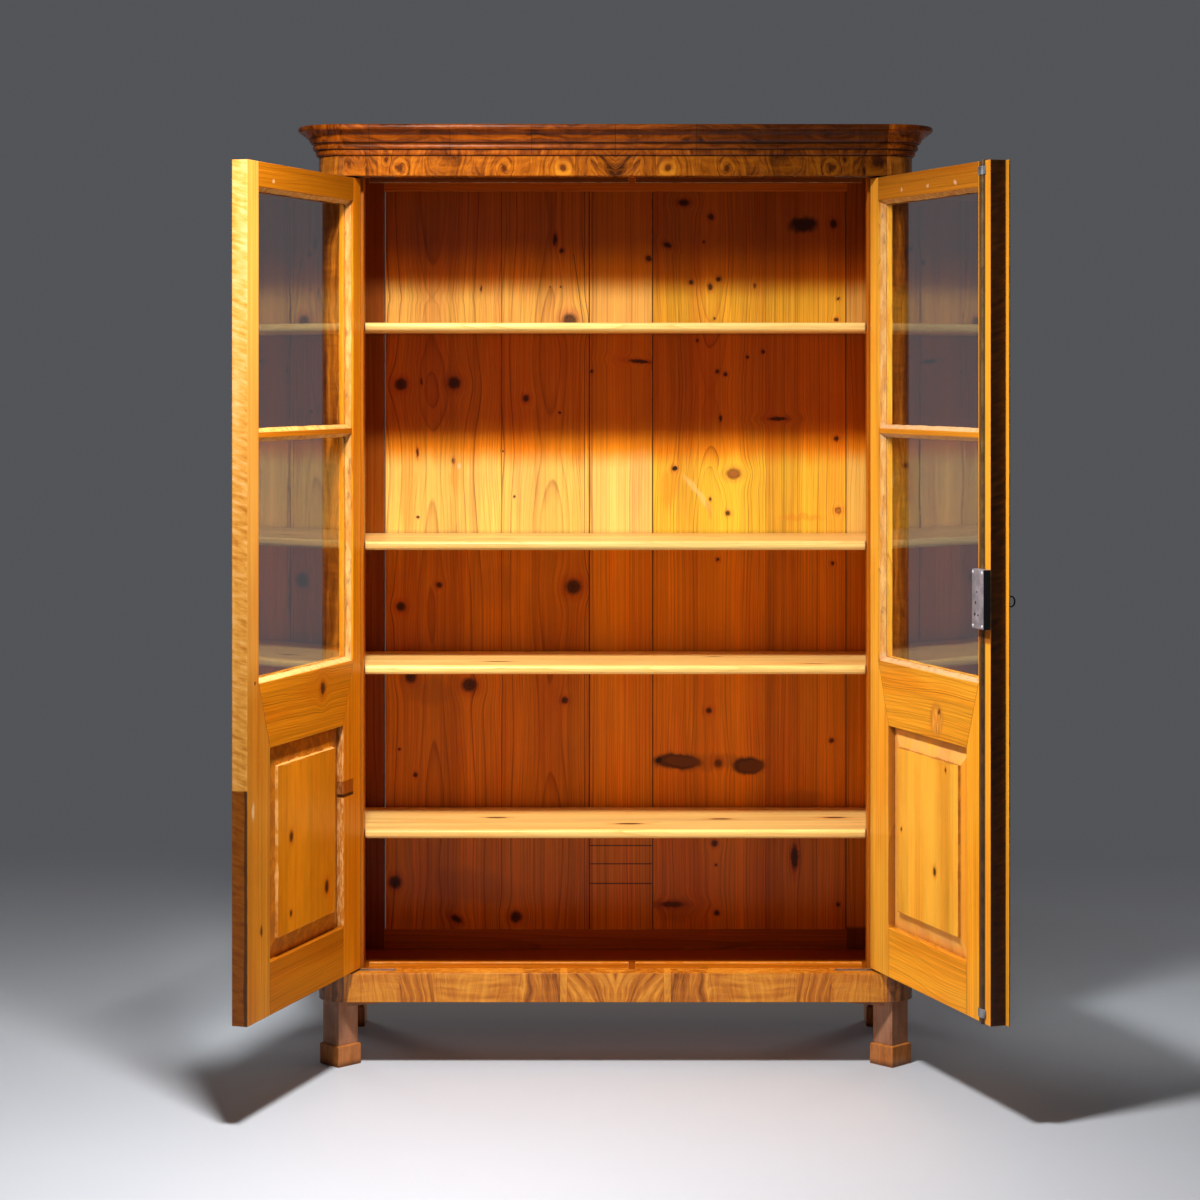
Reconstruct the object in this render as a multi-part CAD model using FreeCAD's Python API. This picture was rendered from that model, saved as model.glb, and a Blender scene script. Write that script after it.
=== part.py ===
import FreeCAD, Part
import math
import os

# A free-standing bookcase with two framed, glazed doors on pin hinges, drawn with both doors open.
# Millimetres, +Z up, doors facing -Y. Pieces are drawn with the apron's front face at y = 0 and the
# carcass centred on x = 0, the doors closed, and are swung open and moved to the origin when written.

# Carcass
body_width = 1212.0             # over base and frieze
body_depth = 420.0
corner_radius = 56.0            # rounded front corners of base and frieze
leg_height = 134.0
base_height = 58.0
opening_height = 1615.0         # apron top to frieze underside
frieze_height = 40.0
rim_thickness = 24.0            # base sides and frieze sides
board_thickness = 18.0          # bottom and ceiling boards
bottom_board_drop = 29.0        # bottom board's top below the apron's top

# Posts and sides
post_inset = 5.0                # posts stand back from base and frieze
post_depth = 90.0
post_width = 86.0
side_thickness = 18.0
rear_post_width = 56.0
rear_post_depth = 53.0

# Feet
leg_side = 50.0
leg_shift = 11.0                # leg's centre from the corner's centre, along x and along y
cuff_thickness = 4.5
cuff_height = 43.0
cuff_chamfer = 2.5
knee_thickness = 14.0
knee_reach = 83.0               # inner point from the corner's centre, along one face
knee_spread = 6.0               # and across it
knee_lap = 16.0                 # edge's start on the leg's face, from the leg's front arris

# Cornice, heights upward and overhangs outward from the frieze's face
fillet_height = 13.0
fillet_overhang = 6.5
fillet_round = 5.0
fillet_bulge = 0.9
bead_height = 10.0
bead_overhang = 12.5
bead_bulge = 2.6
ogee_height = 27.0
ogee_overhang = 30.0
ogee_bulge = 2.2
nose_height = 11.0
nose_overhang = 42.0
nose_bulge = 3.1
cornice_seat = 20.0             # width that lies on the frieze
ledge_width = 12.0              # ledge inside the cornice that carries the dust board
dust_board_thickness = 14.0
dust_board_sink = 2.0           # dust board's top below the cornice's top
dust_board_play = 0.5

# Back frame
back_setback = 45.0             # face of the back frame in front of the carcass's rear face
back_thickness = 18.0
back_stile_width = 46.0
muntin_width = 134.0
muntin_offset = 12.0            # muntin's middle to the right of the carcass's middle
back_top_rail_drop = 7.0        # back top rail's lower edge below the frieze's underside
back_bottom_rail_rise = 14.0    # back bottom rail's upper edge above the apron's top
back_panel_thickness = 10.0
back_panel_sink = 2.0           # panel's face behind the frame's face
back_groove_depth = 8.0
back_panel_play = 1.0
shrinkage_slit = 2.5            # open slit between the left panel and its stile

# Shelves
shelf_thickness = 18.0
shelf_front_setback = 78.0
shelf_nose_radius = 7.5
shelf_play = 0.5
shelf_post_play = 2.0
lowest_shelf_top = 470.0
second_shelf_top = 807.0
third_shelf_top = 1062.0
highest_shelf_top = 1511.0
cleat_size = 20.0

# Doors
door_thickness = 31.0
door_setback = 21.5             # door's front face behind the apron's front face
door_end_gap = 4.0
stop_gap = 0.8
meeting_gap = 1.5
pivot_inset = 20.0              # pivot from the post's inner face, into the post
hollow_gap = 1.5                # round the door's rounded hinge edge
left_open_angle = 107.6
right_open_angle = 109.1
full_open_angle = 110.0

# Door frames
stile_width = 50.0              # inside face, beside the glass
lower_stile_width = 100.0
top_rail_width = 47.0
lock_rail_width = 126.0
panel_opening_height = 405.0
bottom_rail_width = 99.0
rebate_width = 8.5
lip_thickness = 14.0            # wood in front of the glass
glass_thickness = 2.8
glass_play = 1.0
bar_front_width = 24.0
bar_fin_width = 10.0
bar_fin_depth = 14.0
tenon_thickness = 10.0
tenon_setback = 6.0             # tenon's face behind the door's front face
tenon_stop = 28.0               # stile's outer edge to the tenon's end
tenon_margin = 14.0
panel_groove_setback = 9.0
panel_groove_width = 8.0
panel_groove_depth = 10.0
panel_play = 1.0
tongue_play = 0.2
bevel_width = 38.0
bevel_rise = 7.5
field_step = 5.5

# Stop strips behind the doors
stop_thickness = 12.0
stop_end_gap = 12.0
bottom_stop_rise = 11.0
top_stop_drop = 10.5

# Pin hinges
plate_length = 102.0
plate_width = 18.0
plate_thickness = 3.0
plate_lead = 14.0               # pin's axis to the plate's outer end
pin_radius = 4.0
pin_reach = 14.0                # length of pin inside the door
pin_fit = 0.05
collar_radius = 7.5
collar_gap = 0.1
socket_length = 42.0
socket_lead = 10.0
socket_bore_play = 0.5
socket_bore_spare = 2.0

# Astragal on the right door
astragal_overlap = 14.0
astragal_cover = 18.0
astragal_thickness = 5.5
astragal_edge = 2.0
astragal_gap = 0.5

# Bolt rods of the right door
rod_width = 11.0
rod_depth = 10.0
rod_proud = 3.0                 # rod's round face above the door's inside face
rod_centre = 33.0               # from the door's free edge
rod_groove_play = 2.0
rod_fit = 0.3
rod_poke = 2.0                  # rod's end past the door's end, drawn back
rod_travel = 12.0
rod_key_gap = 16.0              # rod's inner end from the key's axis
strike_play = 1.5
guide_height = 16.0
guide_foot = 7.0
guide_thickness = 2.0
guide_end_gap = 10.0            # from the door's end

# Lock and key
lock_width = 48.0
lock_height = 111.0
lock_depth = 15.0
lock_wall = 2.5
lock_height_on_door = 735.0     # lock's lower edge above the door's lower edge
lock_chamfer = 1.2
key_drop = 7.0                  # key's axis below the lock's middle
key_radius = 3.5
key_fit = 0.05
key_hole_play = 1.5
key_stub = 4.0                  # bare shank in front of the door
bow_height = 20.0
bow_width = 16.0
bow_thickness = 4.0
bow_rim = 3.6
bit_reach = 11.0
bit_width = 7.0
bit_thickness = 3.0
bit_gap = 1.5                   # bit from the door's inside face

# Levels and lines that follow from the sizes above
half_width = body_width / 2
half_clear = half_width - post_inset - post_width
corner_x = half_width - corner_radius
corner_y = corner_radius
sill_z = leg_height + base_height
head_z = sill_z + opening_height
frieze_top_z = head_z + frieze_height
cornice_height = fillet_height + bead_height + ogee_height + nose_height
top_z = frieze_top_z + cornice_height
dust_board_z = top_z - dust_board_sink - dust_board_thickness
bottom_board_top = sill_z - bottom_board_drop
ceiling_z = frieze_top_z - board_thickness
post_radius = corner_radius - post_inset
post_outer = corner_x + post_radius
post_back = post_inset + post_depth
rear_post_front = body_depth - rear_post_depth
rear_post_inner = post_outer - rear_post_width
rim_inner = half_width - rim_thickness
side_inner = post_outer - side_thickness
back_face = body_depth - back_setback
back_rear = back_face + back_thickness
shelf_tops = [lowest_shelf_top, second_shelf_top, third_shelf_top, highest_shelf_top]
leg_x = corner_x + leg_shift
leg_y = corner_y - leg_shift
pivot_x = half_clear + pivot_inset
half_door = door_thickness / 2
pivot_y = door_setback + half_door
door_inside = door_setback + door_thickness
stop_y = door_inside + stop_gap             # back of apron and frieze, rebate of the posts
door_bottom = sill_z + door_end_gap
door_top = head_z - door_end_gap
hinge_edge = -(pivot_x + half_door)         # left door, closed
free_edge = -meeting_gap / 2
lip_y = door_setback + lip_thickness
panel_bottom = door_bottom + bottom_rail_width
panel_top = panel_bottom + panel_opening_height
glass_bottom = panel_top + lock_rail_width
glass_top = door_top - top_rail_width
bar_z = (glass_bottom + glass_top) / 2
rod_x = -free_edge + rod_centre             # right door, closed
rod_front = door_inside + rod_proud - rod_depth
rod_round = rod_width / 2
rod_round_y = door_inside + rod_proud - rod_round
lock_bottom = door_bottom + lock_height_on_door
key_z = lock_bottom + lock_height / 2 - key_drop

# The origin is on the floor, midway between the carcass's rear face and the left door's foremost corner
door_swing = math.radians(left_open_angle)
door_reach = (pivot_x - meeting_gap / 2) * math.sin(door_swing) - half_door * math.cos(door_swing)
origin_y = (body_depth + pivot_y - door_reach) / 2

Vector = FreeCAD.Vector
up = Vector(0, 0, 1)


def plan(x, y):
    return Vector(x, y, 0)


def elevation(x, z):
    return Vector(x, 0, z)


def on_circle(x, y, radius, degrees):
    angle = math.radians(degrees)
    return (x + radius * math.cos(angle), y + radius * math.sin(angle))


def outline(place, start, steps):
    # A step is a point to draw a line to, or a pair: a point on an arc and the arc's end.
    edges = []
    here = start
    for step in steps + [start]:
        if isinstance(step[0], tuple):
            through, there = step
            edges.append(Part.Arc(place(*here), place(*through), place(*there)).toShape())
        else:
            there = step
            edges.append(Part.LineSegment(place(*here), place(*there)).toShape())
        here = there
    return Part.Face(Part.Wire(edges))


def block(x0, x1, y0, y1, z0, z1):
    return Part.makeBox(x1 - x0, y1 - y0, z1 - z0, Vector(x0, y0, z0))


def prism(points, z0, z1):
    face = outline(plan, points[0], points[1:])
    face.translate(Vector(0, 0, z0))
    return face.extrude(Vector(0, 0, z1 - z0))


def leaf(points, y0, y1):
    face = outline(elevation, points[0], points[1:])
    face.translate(Vector(0, y0, 0))
    return face.extrude(Vector(0, y1 - y0, 0))


def rod(x, y, radius, z0, z1):
    return Part.makeCylinder(radius, z1 - z0, Vector(x, y, z0))


def joined(first, *others):
    return first.fuse(list(others)).removeSplitter().Solids[0]


def mirrored(shape):
    return shape.mirror(Vector(0, 0, 0), Vector(1, 0, 0))


def both_sides(points):
    # Completes the right half of an outline that is the same on both sides.
    return points + [(-x, y) for x, y in reversed(points)]


def chamfer_top(shape, z, size):
    edges = [e for e in shape.Edges if all(abs(v.Z - z) < 1e-6 for v in e.Vertexes)]
    return shape.makeChamfer(size, edges)


# Posts, sides and feet

def front_post():
    # Left post in plan: rounded outside, a rebate for the door, a hollow for the door's rounded edge and
    # a reveal that lies along the door's face when the door is fully open.
    swing = math.radians(full_open_angle)
    along = (math.cos(swing), -math.sin(swing))
    hollow = half_door + hollow_gap
    reveal_degrees = 270 - full_open_angle
    reveal_start = on_circle(-pivot_x, pivot_y, hollow, reveal_degrees)
    from_corner = (reveal_start[0] + corner_x, reveal_start[1] - corner_y)
    b = from_corner[0] * along[0] + from_corner[1] * along[1]
    c = from_corner[0] ** 2 + from_corner[1] ** 2 - post_radius ** 2
    length = math.sqrt(b * b - c) - b
    reveal_end = (reveal_start[0] + length * along[0], reveal_start[1] + length * along[1])
    reveal_angle = math.degrees(math.atan2(corner_y - reveal_end[1], corner_x + reveal_end[0]))
    middle = on_circle(-corner_x, corner_y, post_radius, (180 + 360 - reveal_angle) / 2)
    face = outline(plan, reveal_end, [
        (middle, (-post_outer, corner_y)),
        (-post_outer, post_back),
        (-half_clear, post_back),
        (-half_clear, stop_y),
        (-pivot_x, stop_y),
        (-pivot_x, pivot_y + hollow),
        (on_circle(-pivot_x, pivot_y, hollow, (90 + reveal_degrees) / 2), reveal_start),
    ])
    face.translate(Vector(0, 0, sill_z))
    return face.extrude(Vector(0, 0, opening_height))


def rear_post():
    return block(-post_outer, -rear_post_inner, rear_post_front, body_depth, 0, head_z)


def side_panel():
    return block(-post_outer, -side_inner, post_back, rear_post_front, sill_z, head_z)


def cornerwise(side, z0, z1):
    # A square bar standing at the left front leg's place, with one arris to the front.
    reach = side / math.sqrt(2)
    left, right = -leg_x - reach, -leg_x + reach
    front, rear = leg_y - reach, leg_y + reach
    return prism([(left, leg_y), (-leg_x, front), (right, leg_y), (-leg_x, rear)], z0, z1)


def front_leg():
    return cornerwise(leg_side, 0, leg_height)


def leg_cuffs():
    front = cornerwise(leg_side + 2 * cuff_thickness, 0, cuff_height)
    front = chamfer_top(front, cuff_height, cuff_chamfer).cut(front_leg())
    rear = block(-post_outer - cuff_thickness, -rear_post_inner + cuff_thickness,
                 rear_post_front - cuff_thickness, body_depth, 0, cuff_height)
    rear = chamfer_top(rear, cuff_height, cuff_chamfer).cut(rear_post())
    return [front, rear, mirrored(front), mirrored(rear)]


def knee_block():
    # A flat plate across the corner, under base and apron, fitted round the leg's inner half.
    reach = leg_side / math.sqrt(2)
    front = (-leg_x + knee_lap, leg_y - reach + knee_lap)
    right = (-corner_x + knee_reach, corner_y + knee_spread)
    rear = (-corner_x + knee_spread, corner_y + knee_reach)
    side = (-leg_x - reach + knee_lap, leg_y + knee_lap)
    plate = prism([front, right, rear, side], leg_height - knee_thickness, leg_height)
    return plate.cut(front_leg())


# Base, frieze and cornice

def rim_corner():
    # Front end of a base side or frieze side in plan, from the front rail's end round to the outside.
    middle = on_circle(-corner_x, corner_y, corner_radius, 225)
    return (-corner_x, 0.0), (middle, (-half_width, corner_y))


def rim_foot():
    # The solid corner that the front post stands under or on.
    return [(-rim_inner, post_back), (-half_clear, post_back), (-half_clear, stop_y), (-corner_x, stop_y)]


def base_side():
    start, corner = rim_corner()
    steps = [corner, (-half_width, rear_post_front), (-rim_inner, rear_post_front)] + rim_foot()
    return prism([start] + steps, leg_height, sill_z)


def frieze_side():
    start, corner = rim_corner()
    steps = [corner, (-half_width, body_depth), (-rear_post_inner, body_depth)]
    steps += [(-rear_post_inner, rear_post_front), (-rim_inner, rear_post_front)] + rim_foot()
    return prism([start] + steps, head_z, frieze_top_z)


def strike(z0, z1):
    # Room for the end of a bolt rod, through the rail's back edge and the stop strip.
    half = rod_width / 2 + strike_play
    return block(rod_x - half, rod_x + half, rod_front - strike_play, stop_y + stop_thickness, z0, z1)


lower_strike = strike(sill_z - rod_travel - strike_play, sill_z + bottom_stop_rise)
upper_strike = strike(head_z - top_stop_drop, head_z + rod_travel + strike_play)


def front_rail(z0, z1):
    return block(-corner_x, corner_x, 0, stop_y, z0, z1)


def apron(plates):
    return front_rail(leg_height, sill_z).cut(plates).cut(lower_strike)


def frieze(plates):
    return front_rail(head_z, frieze_top_z).cut(plates).cut(upper_strike)


def cornice_section(place):
    bead_z = fillet_height + bead_height
    ogee_z = bead_z + ogee_height
    ogee_start = bead_overhang - bead_bulge
    nose_start = nose_overhang - nose_bulge
    turn = ((ogee_start + ogee_overhang) / 2, (bead_z + ogee_z) / 2)
    slope = math.hypot(ogee_overhang - ogee_start, ogee_height)
    out = (ogee_height / slope * ogee_bulge, (ogee_start - ogee_overhang) / slope * ogee_bulge)
    lower = ((ogee_start + turn[0]) / 2 + out[0], (bead_z + turn[1]) / 2 + out[1])
    upper = ((ogee_overhang + turn[0]) / 2 - out[0], (ogee_z + turn[1]) / 2 - out[1])
    ledge_z = dust_board_z - frieze_top_z
    bulge = fillet_bulge / math.sqrt(2)
    round_middle = (fillet_overhang - fillet_round / 2 + bulge, fillet_round / 2 - bulge)
    return outline(place, (-cornice_seat, 0.0), [
        (fillet_overhang - fillet_round, 0.0),
        (round_middle, (fillet_overhang, fillet_round)),
        (fillet_overhang, fillet_height),
        (ogee_start, fillet_height),
        ((bead_overhang, fillet_height + bead_height / 2), (ogee_start, bead_z)),
        (lower, turn),
        (upper, (ogee_overhang, ogee_z)),
        (nose_start, ogee_z),
        ((nose_overhang, ogee_z + nose_height / 2), (nose_start, cornice_height)),
        (ledge_width - cornice_seat, cornice_height),
        (ledge_width - cornice_seat, ledge_z),
        (-cornice_seat, ledge_z),
    ])


def front_cornice_section():
    return cornice_section(lambda p, h: Vector(-corner_x, -p, frieze_top_z + h))


def cornice_front():
    return front_cornice_section().extrude(Vector(2 * corner_x, 0, 0))


def cornice_return():
    # Rounded corner and side length of the left, with a block that closes the rear end.
    corner = front_cornice_section().revolve(Vector(-corner_x, corner_y, 0), up, -90)
    side = cornice_section(lambda p, h: Vector(-half_width - p, corner_y, frieze_top_z + h))
    side = side.extrude(Vector(0, body_depth - corner_y, 0))
    seat = cornice_seat - half_width
    end = block(seat, -rear_post_inner, back_face, back_rear, frieze_top_z, dust_board_z)
    return joined(corner, side, end)


def dust_board():
    edge = cornice_seat - ledge_width + dust_board_play
    right = half_width - edge
    radius = corner_radius - edge
    points = [(right, body_depth), (-right, body_depth), (-right, corner_y)]
    points.append((on_circle(-corner_x, corner_y, radius, 225), (-corner_x, edge)))
    points.append((corner_x, edge))
    points.append((on_circle(corner_x, corner_y, radius, 315), (right, corner_y)))
    return prism(points, dust_board_z, dust_board_z + dust_board_thickness)


def deck(z0):
    # Bottom board and ceiling board, fitted between the corners, the sides and the back frame.
    right = [(half_clear, stop_y), (half_clear, post_back), (rim_inner, post_back)]
    right += [(rim_inner, rear_post_front), (rear_post_inner, rear_post_front)]
    right.append((rear_post_inner, back_face))
    return prism(both_sides(right), z0, z0 + board_thickness)


def door_stops():
    end = half_clear - stop_end_gap
    back = stop_y + stop_thickness
    bottom = block(-end, end, stop_y, back, bottom_board_top, sill_z + bottom_stop_rise)
    top = block(-end, end, stop_y, back, head_z - top_stop_drop, ceiling_z)
    return [bottom.cut(lower_strike), top.cut(upper_strike)]


# Back frame

back_left = -rear_post_inner + back_stile_width
back_right = rear_post_inner - back_stile_width
muntin_left = muntin_offset - muntin_width / 2
muntin_right = muntin_offset + muntin_width / 2
back_opening_bottom = sill_z + back_bottom_rail_rise
back_opening_top = head_z - back_top_rail_drop


def back_panel(left, right, left_tongue):
    front = back_face + back_panel_sink
    tongue = back_groove_depth - back_panel_play
    return block(left - left_tongue, right + tongue, front, front + back_panel_thickness,
                 back_opening_bottom - tongue, back_opening_top + tongue)


def back_grooves():
    front = back_face + back_panel_sink
    low = back_opening_bottom - back_groove_depth
    high = back_opening_top + back_groove_depth
    grooves = []
    for left, right in ((back_left, muntin_left), (muntin_right, back_right)):
        grooves.append(block(left - back_groove_depth, right + back_groove_depth, front,
                             front + back_panel_thickness, low, high))
    return grooves


def back_pieces():
    low = leg_height
    high = dust_board_z
    blanks = {
        "back_stile_left": (-rear_post_inner, back_left, low, high),
        "back_stile_right": (back_right, rear_post_inner, low, high),
        "back_top_rail": (back_left, back_right, back_opening_top, high),
        "back_bottom_rail": (back_left, back_right, low, back_opening_bottom),
        "back_muntin": (muntin_left, muntin_right, back_opening_bottom, back_opening_top),
    }
    pieces = {}
    for name, (x0, x1, z0, z1) in blanks.items():
        pieces[name] = block(x0, x1, back_face, back_rear, z0, z1).cut(back_grooves())
    tongue = back_groove_depth - back_panel_play
    pieces["back_panel_left"] = back_panel(back_left, muntin_left, -shrinkage_slit)
    pieces["back_panel_right"] = back_panel(muntin_right, back_right, tongue)
    return pieces


# Shelves

def shelf(top):
    front = shelf_front_setback
    narrow = half_clear - shelf_post_play
    wide = side_inner - shelf_play
    rear = rear_post_inner - shelf_play
    right = [(narrow, front), (narrow, post_back + shelf_play), (wide, post_back + shelf_play)]
    right += [(wide, rear_post_front - shelf_play), (rear, rear_post_front - shelf_play)]
    right.append((rear, back_face - shelf_play))
    board = prism(both_sides(right), top - shelf_thickness, top)
    nose = [e for e in board.Edges
            if all(abs(v.Y - front) < 1e-6 for v in e.Vertexes) and e.Length > narrow]
    return board.makeFillet(shelf_nose_radius, nose)


def shelf_cleats():
    cleats = []
    for top in shelf_tops:
        z1 = top - shelf_thickness
        cleat = block(-side_inner, -side_inner + cleat_size, post_back, rear_post_front,
                      z1 - cleat_size, z1)
        cleats += [cleat, mirrored(cleat)]
    return cleats


# Pin hinges

def pivot_plates():
    # Left lower and left upper plate, each let in flush, with the pin that the door turns on.
    outer = -pivot_x - plate_lead
    y0 = pivot_y - plate_width / 2
    y1 = pivot_y + plate_width / 2
    pin = door_end_gap + pin_reach
    lower = joined(
        block(outer, outer + plate_length, y0, y1, sill_z - plate_thickness, sill_z),
        rod(-pivot_x, pivot_y, pin_radius, sill_z, sill_z + pin),
        rod(-pivot_x, pivot_y, collar_radius, sill_z, door_bottom - collar_gap),
    )
    upper = joined(
        block(outer, outer + plate_length, y0, y1, head_z, head_z + plate_thickness),
        rod(-pivot_x, pivot_y, pin_radius, head_z - pin, head_z),
    )
    return [lower, upper]


def pivot_sockets():
    x0 = -pivot_x - socket_lead
    y0 = pivot_y - plate_width / 2
    y1 = pivot_y + plate_width / 2
    sockets = []
    for z0 in (door_bottom, door_top - plate_thickness):
        plate = block(x0, x0 + socket_length, y0, y1, z0, z0 + plate_thickness)
        sockets.append(plate.cut(rod(-pivot_x, pivot_y, pin_radius + pin_fit, z0, z0 + plate_thickness)))
    return sockets


def socket_recesses():
    # What is cut from the hinge stile's ends: the socket plates' beds and the pins' bores.
    x0 = -pivot_x - socket_lead
    y0 = pivot_y - plate_width / 2
    y1 = pivot_y + plate_width / 2
    bore = pin_radius + socket_bore_play
    depth = pin_reach + socket_bore_spare
    return [
        block(x0, x0 + socket_length, y0, y1, door_bottom, door_bottom + plate_thickness),
        block(x0, x0 + socket_length, y0, y1, door_top - plate_thickness, door_top),
        rod(-pivot_x, pivot_y, bore, door_bottom, door_bottom + depth),
        rod(-pivot_x, pivot_y, bore, door_top - depth, door_top),
    ]


# Door frame, drawn for the closed left door

def stile_outline(outer, edge, inward, sight):
    # Stile in elevation: narrow beside the glass, wide beside the panel, a slanted shoulder between.
    narrow = edge + inward * (stile_width + sight)
    wide = edge + inward * lower_stile_width
    return [(outer, door_bottom), (outer, door_top), (narrow, door_top), (narrow, glass_bottom + sight),
            (wide, panel_top), (wide, door_bottom)]


def stile(outer, edge, inward):
    front = leaf(stile_outline(outer, edge, inward, rebate_width), door_setback, lip_y)
    inside = leaf(stile_outline(outer, edge, inward, 0.0), lip_y, door_inside)
    return joined(front, inside)


def rail(z0, z1, lower, upper):
    # A rail in elevation; its ends may stand apart by another distance above than below.
    return [(lower[0], z0), (upper[0], z1), (upper[1], z1), (lower[1], z0)]


def ends(inset):
    return hinge_edge + inset, free_edge - inset


def tenons(z0, z1):
    left, right = ends(tenon_stop)
    y0 = door_setback + tenon_setback
    return block(left, right, y0, y0 + tenon_thickness, z0 + tenon_margin, z1 - tenon_margin)


def door_frame():
    sight = ends(stile_width + rebate_width)
    narrow = ends(stile_width)
    wide = ends(lower_stile_width)
    groove_y = door_setback + panel_groove_setback
    groove_left, groove_right = ends(lower_stile_width - panel_groove_depth)
    groove = block(groove_left, groove_right, groove_y, groove_y + panel_groove_width,
                   panel_bottom - panel_groove_depth, panel_top + panel_groove_depth)
    top_tenon = tenons(glass_top, door_top)
    lock_tenon = tenons(panel_top, glass_bottom)
    bottom_tenon = tenons(door_bottom, panel_bottom)
    top = joined(
        leaf(rail(glass_top - rebate_width, door_top, sight, sight), door_setback, lip_y),
        leaf(rail(glass_top, door_top, narrow, narrow), lip_y, door_inside),
        top_tenon,
    )
    lock = joined(
        leaf(rail(panel_top, glass_bottom + rebate_width, wide, sight), door_setback, lip_y),
        leaf(rail(panel_top, glass_bottom, wide, narrow), lip_y, door_inside),
        lock_tenon,
    )
    bottom = joined(
        leaf(rail(door_bottom, panel_bottom, wide, wide), door_setback, door_inside),
        bottom_tenon,
    )
    hinge = joined(
        stile(-pivot_x, hinge_edge, 1),
        rod(-pivot_x, pivot_y, half_door, door_bottom, door_top),
    )
    meeting = stile(free_edge, free_edge, -1)
    cuts = [groove, top_tenon, lock_tenon, bottom_tenon]
    return {
        "hinge_stile": hinge.cut(cuts + socket_recesses()),
        "meeting_stile": meeting.cut(cuts),
        "top_rail": top,
        "lock_rail": lock.cut(groove),
        "bottom_rail": bottom.cut(groove),
    }


def door_panel():
    # Flat outside; bevelled towards its tongues and raised in the middle on the inside.
    y0 = door_setback + panel_groove_setback + tongue_play
    y1 = y0 + panel_groove_width - 2 * tongue_play
    tongue = panel_groove_depth - panel_play
    left, right = ends(lower_stile_width - tongue)
    board = block(left, right, y0, y1, panel_bottom - tongue, panel_top + tongue)
    left, right = ends(lower_stile_width + panel_play)
    low, high = panel_bottom + panel_play, panel_top - panel_play
    field_left, field_right = left + bevel_width, right - bevel_width
    field_low, field_high = low + bevel_width, high - bevel_width
    bevel_y = y1 + bevel_rise
    bevel = Part.makeWedge(left, y1, low, field_low, field_left,
                           right, bevel_y, high, field_high, field_right)
    field = block(field_left, field_right, y1, bevel_y + field_step, field_low, field_high)
    return joined(board, bevel, field)


def glazing_bar():
    front = block(*ends(stile_width + rebate_width), door_setback, lip_y,
                  bar_z - bar_front_width / 2, bar_z + bar_front_width / 2)
    fin = block(*ends(stile_width), lip_y, lip_y + bar_fin_depth,
                bar_z - bar_fin_width / 2, bar_z + bar_fin_width / 2)
    return joined(front, fin)


def panes():
    left, right = ends(stile_width + glass_play)
    fin = bar_fin_width / 2 + glass_play
    back = lip_y + glass_thickness
    lower = block(left, right, lip_y, back, glass_bottom + glass_play, bar_z - fin)
    upper = block(left, right, lip_y, back, bar_z + fin, glass_top - glass_play)
    return [lower, upper]


# Fittings of the right door, drawn closed

def rod_section(play, z0, z1):
    half = rod_round + play
    face = outline(plan, (rod_x - half, rod_front - play), [
        (rod_x + half, rod_front - play),
        (rod_x + half, rod_round_y),
        ((rod_x, rod_round_y + half), (rod_x - half, rod_round_y)),
    ])
    face.translate(Vector(0, 0, z0))
    return face.extrude(Vector(0, 0, z1 - z0))


def upper_rod():
    return rod_section(0.0, key_z + rod_key_gap, door_top + rod_poke)


def lower_rod():
    return rod_section(0.0, door_bottom - rod_poke, key_z - rod_key_gap)


def rod_groove():
    half = rod_width / 2 + rod_groove_play
    return block(rod_x - half, rod_x + half, rod_front - rod_fit, door_inside, door_bottom, door_top)


def rod_guides():
    half = rod_round + rod_fit + guide_thickness
    reach = half + guide_foot
    guides = []
    for z0 in (door_bottom + guide_end_gap, door_top - guide_end_gap - guide_height):
        z1 = z0 + guide_height
        foot = block(rod_x - reach, rod_x + reach, door_inside, door_inside + guide_thickness, z0, z1)
        arch = rod(rod_x, rod_round_y, half, z0, z1)
        arch = arch.common(block(rod_x - reach, rod_x + reach, door_inside, door_inside + reach, z0, z1))
        guides.append(joined(foot, arch).cut(rod_section(rod_fit, z0, z1)))
    return guides


def key_bore(radius, y0, y1):
    return Part.makeCylinder(radius, y1 - y0, Vector(rod_x, y0, key_z), Vector(0, 1, 0))


def key_hole():
    # Through the meeting stile: a round hole for the shank with a slot below it for the bit.
    half = bit_thickness / 2 + key_hole_play
    slot = block(rod_x - half, rod_x + half, door_setback, door_inside,
                 key_z - bit_reach - key_hole_play, key_z)
    return key_bore(key_radius + key_hole_play, door_setback, door_inside).fuse(slot)


def lock_case():
    x0 = -free_edge
    x1 = x0 + lock_width
    z0 = lock_bottom
    z1 = z0 + lock_height
    cover = door_inside + lock_depth
    case = block(x0, x1, door_inside, cover, z0, z1)
    rim = [e for e in case.Edges if all(v.Y > door_inside + 1e-6 for v in e.Vertexes)]
    case = case.makeChamfer(lock_chamfer, rim)
    room = block(x0 + lock_wall, x1 - lock_wall, door_inside, cover - lock_wall,
                 z0 + lock_wall, z1 - lock_wall)
    passage = rod_section(rod_fit, z0, z1)
    bore = key_bore(key_radius + key_fit, cover - lock_wall, cover)
    return case.cut([room, passage, bore])


def oval(length, width):
    return Part.Face(Part.Wire(Part.Ellipse(Vector(0, 0, 0), length / 2, width / 2).toShape()))


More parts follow.
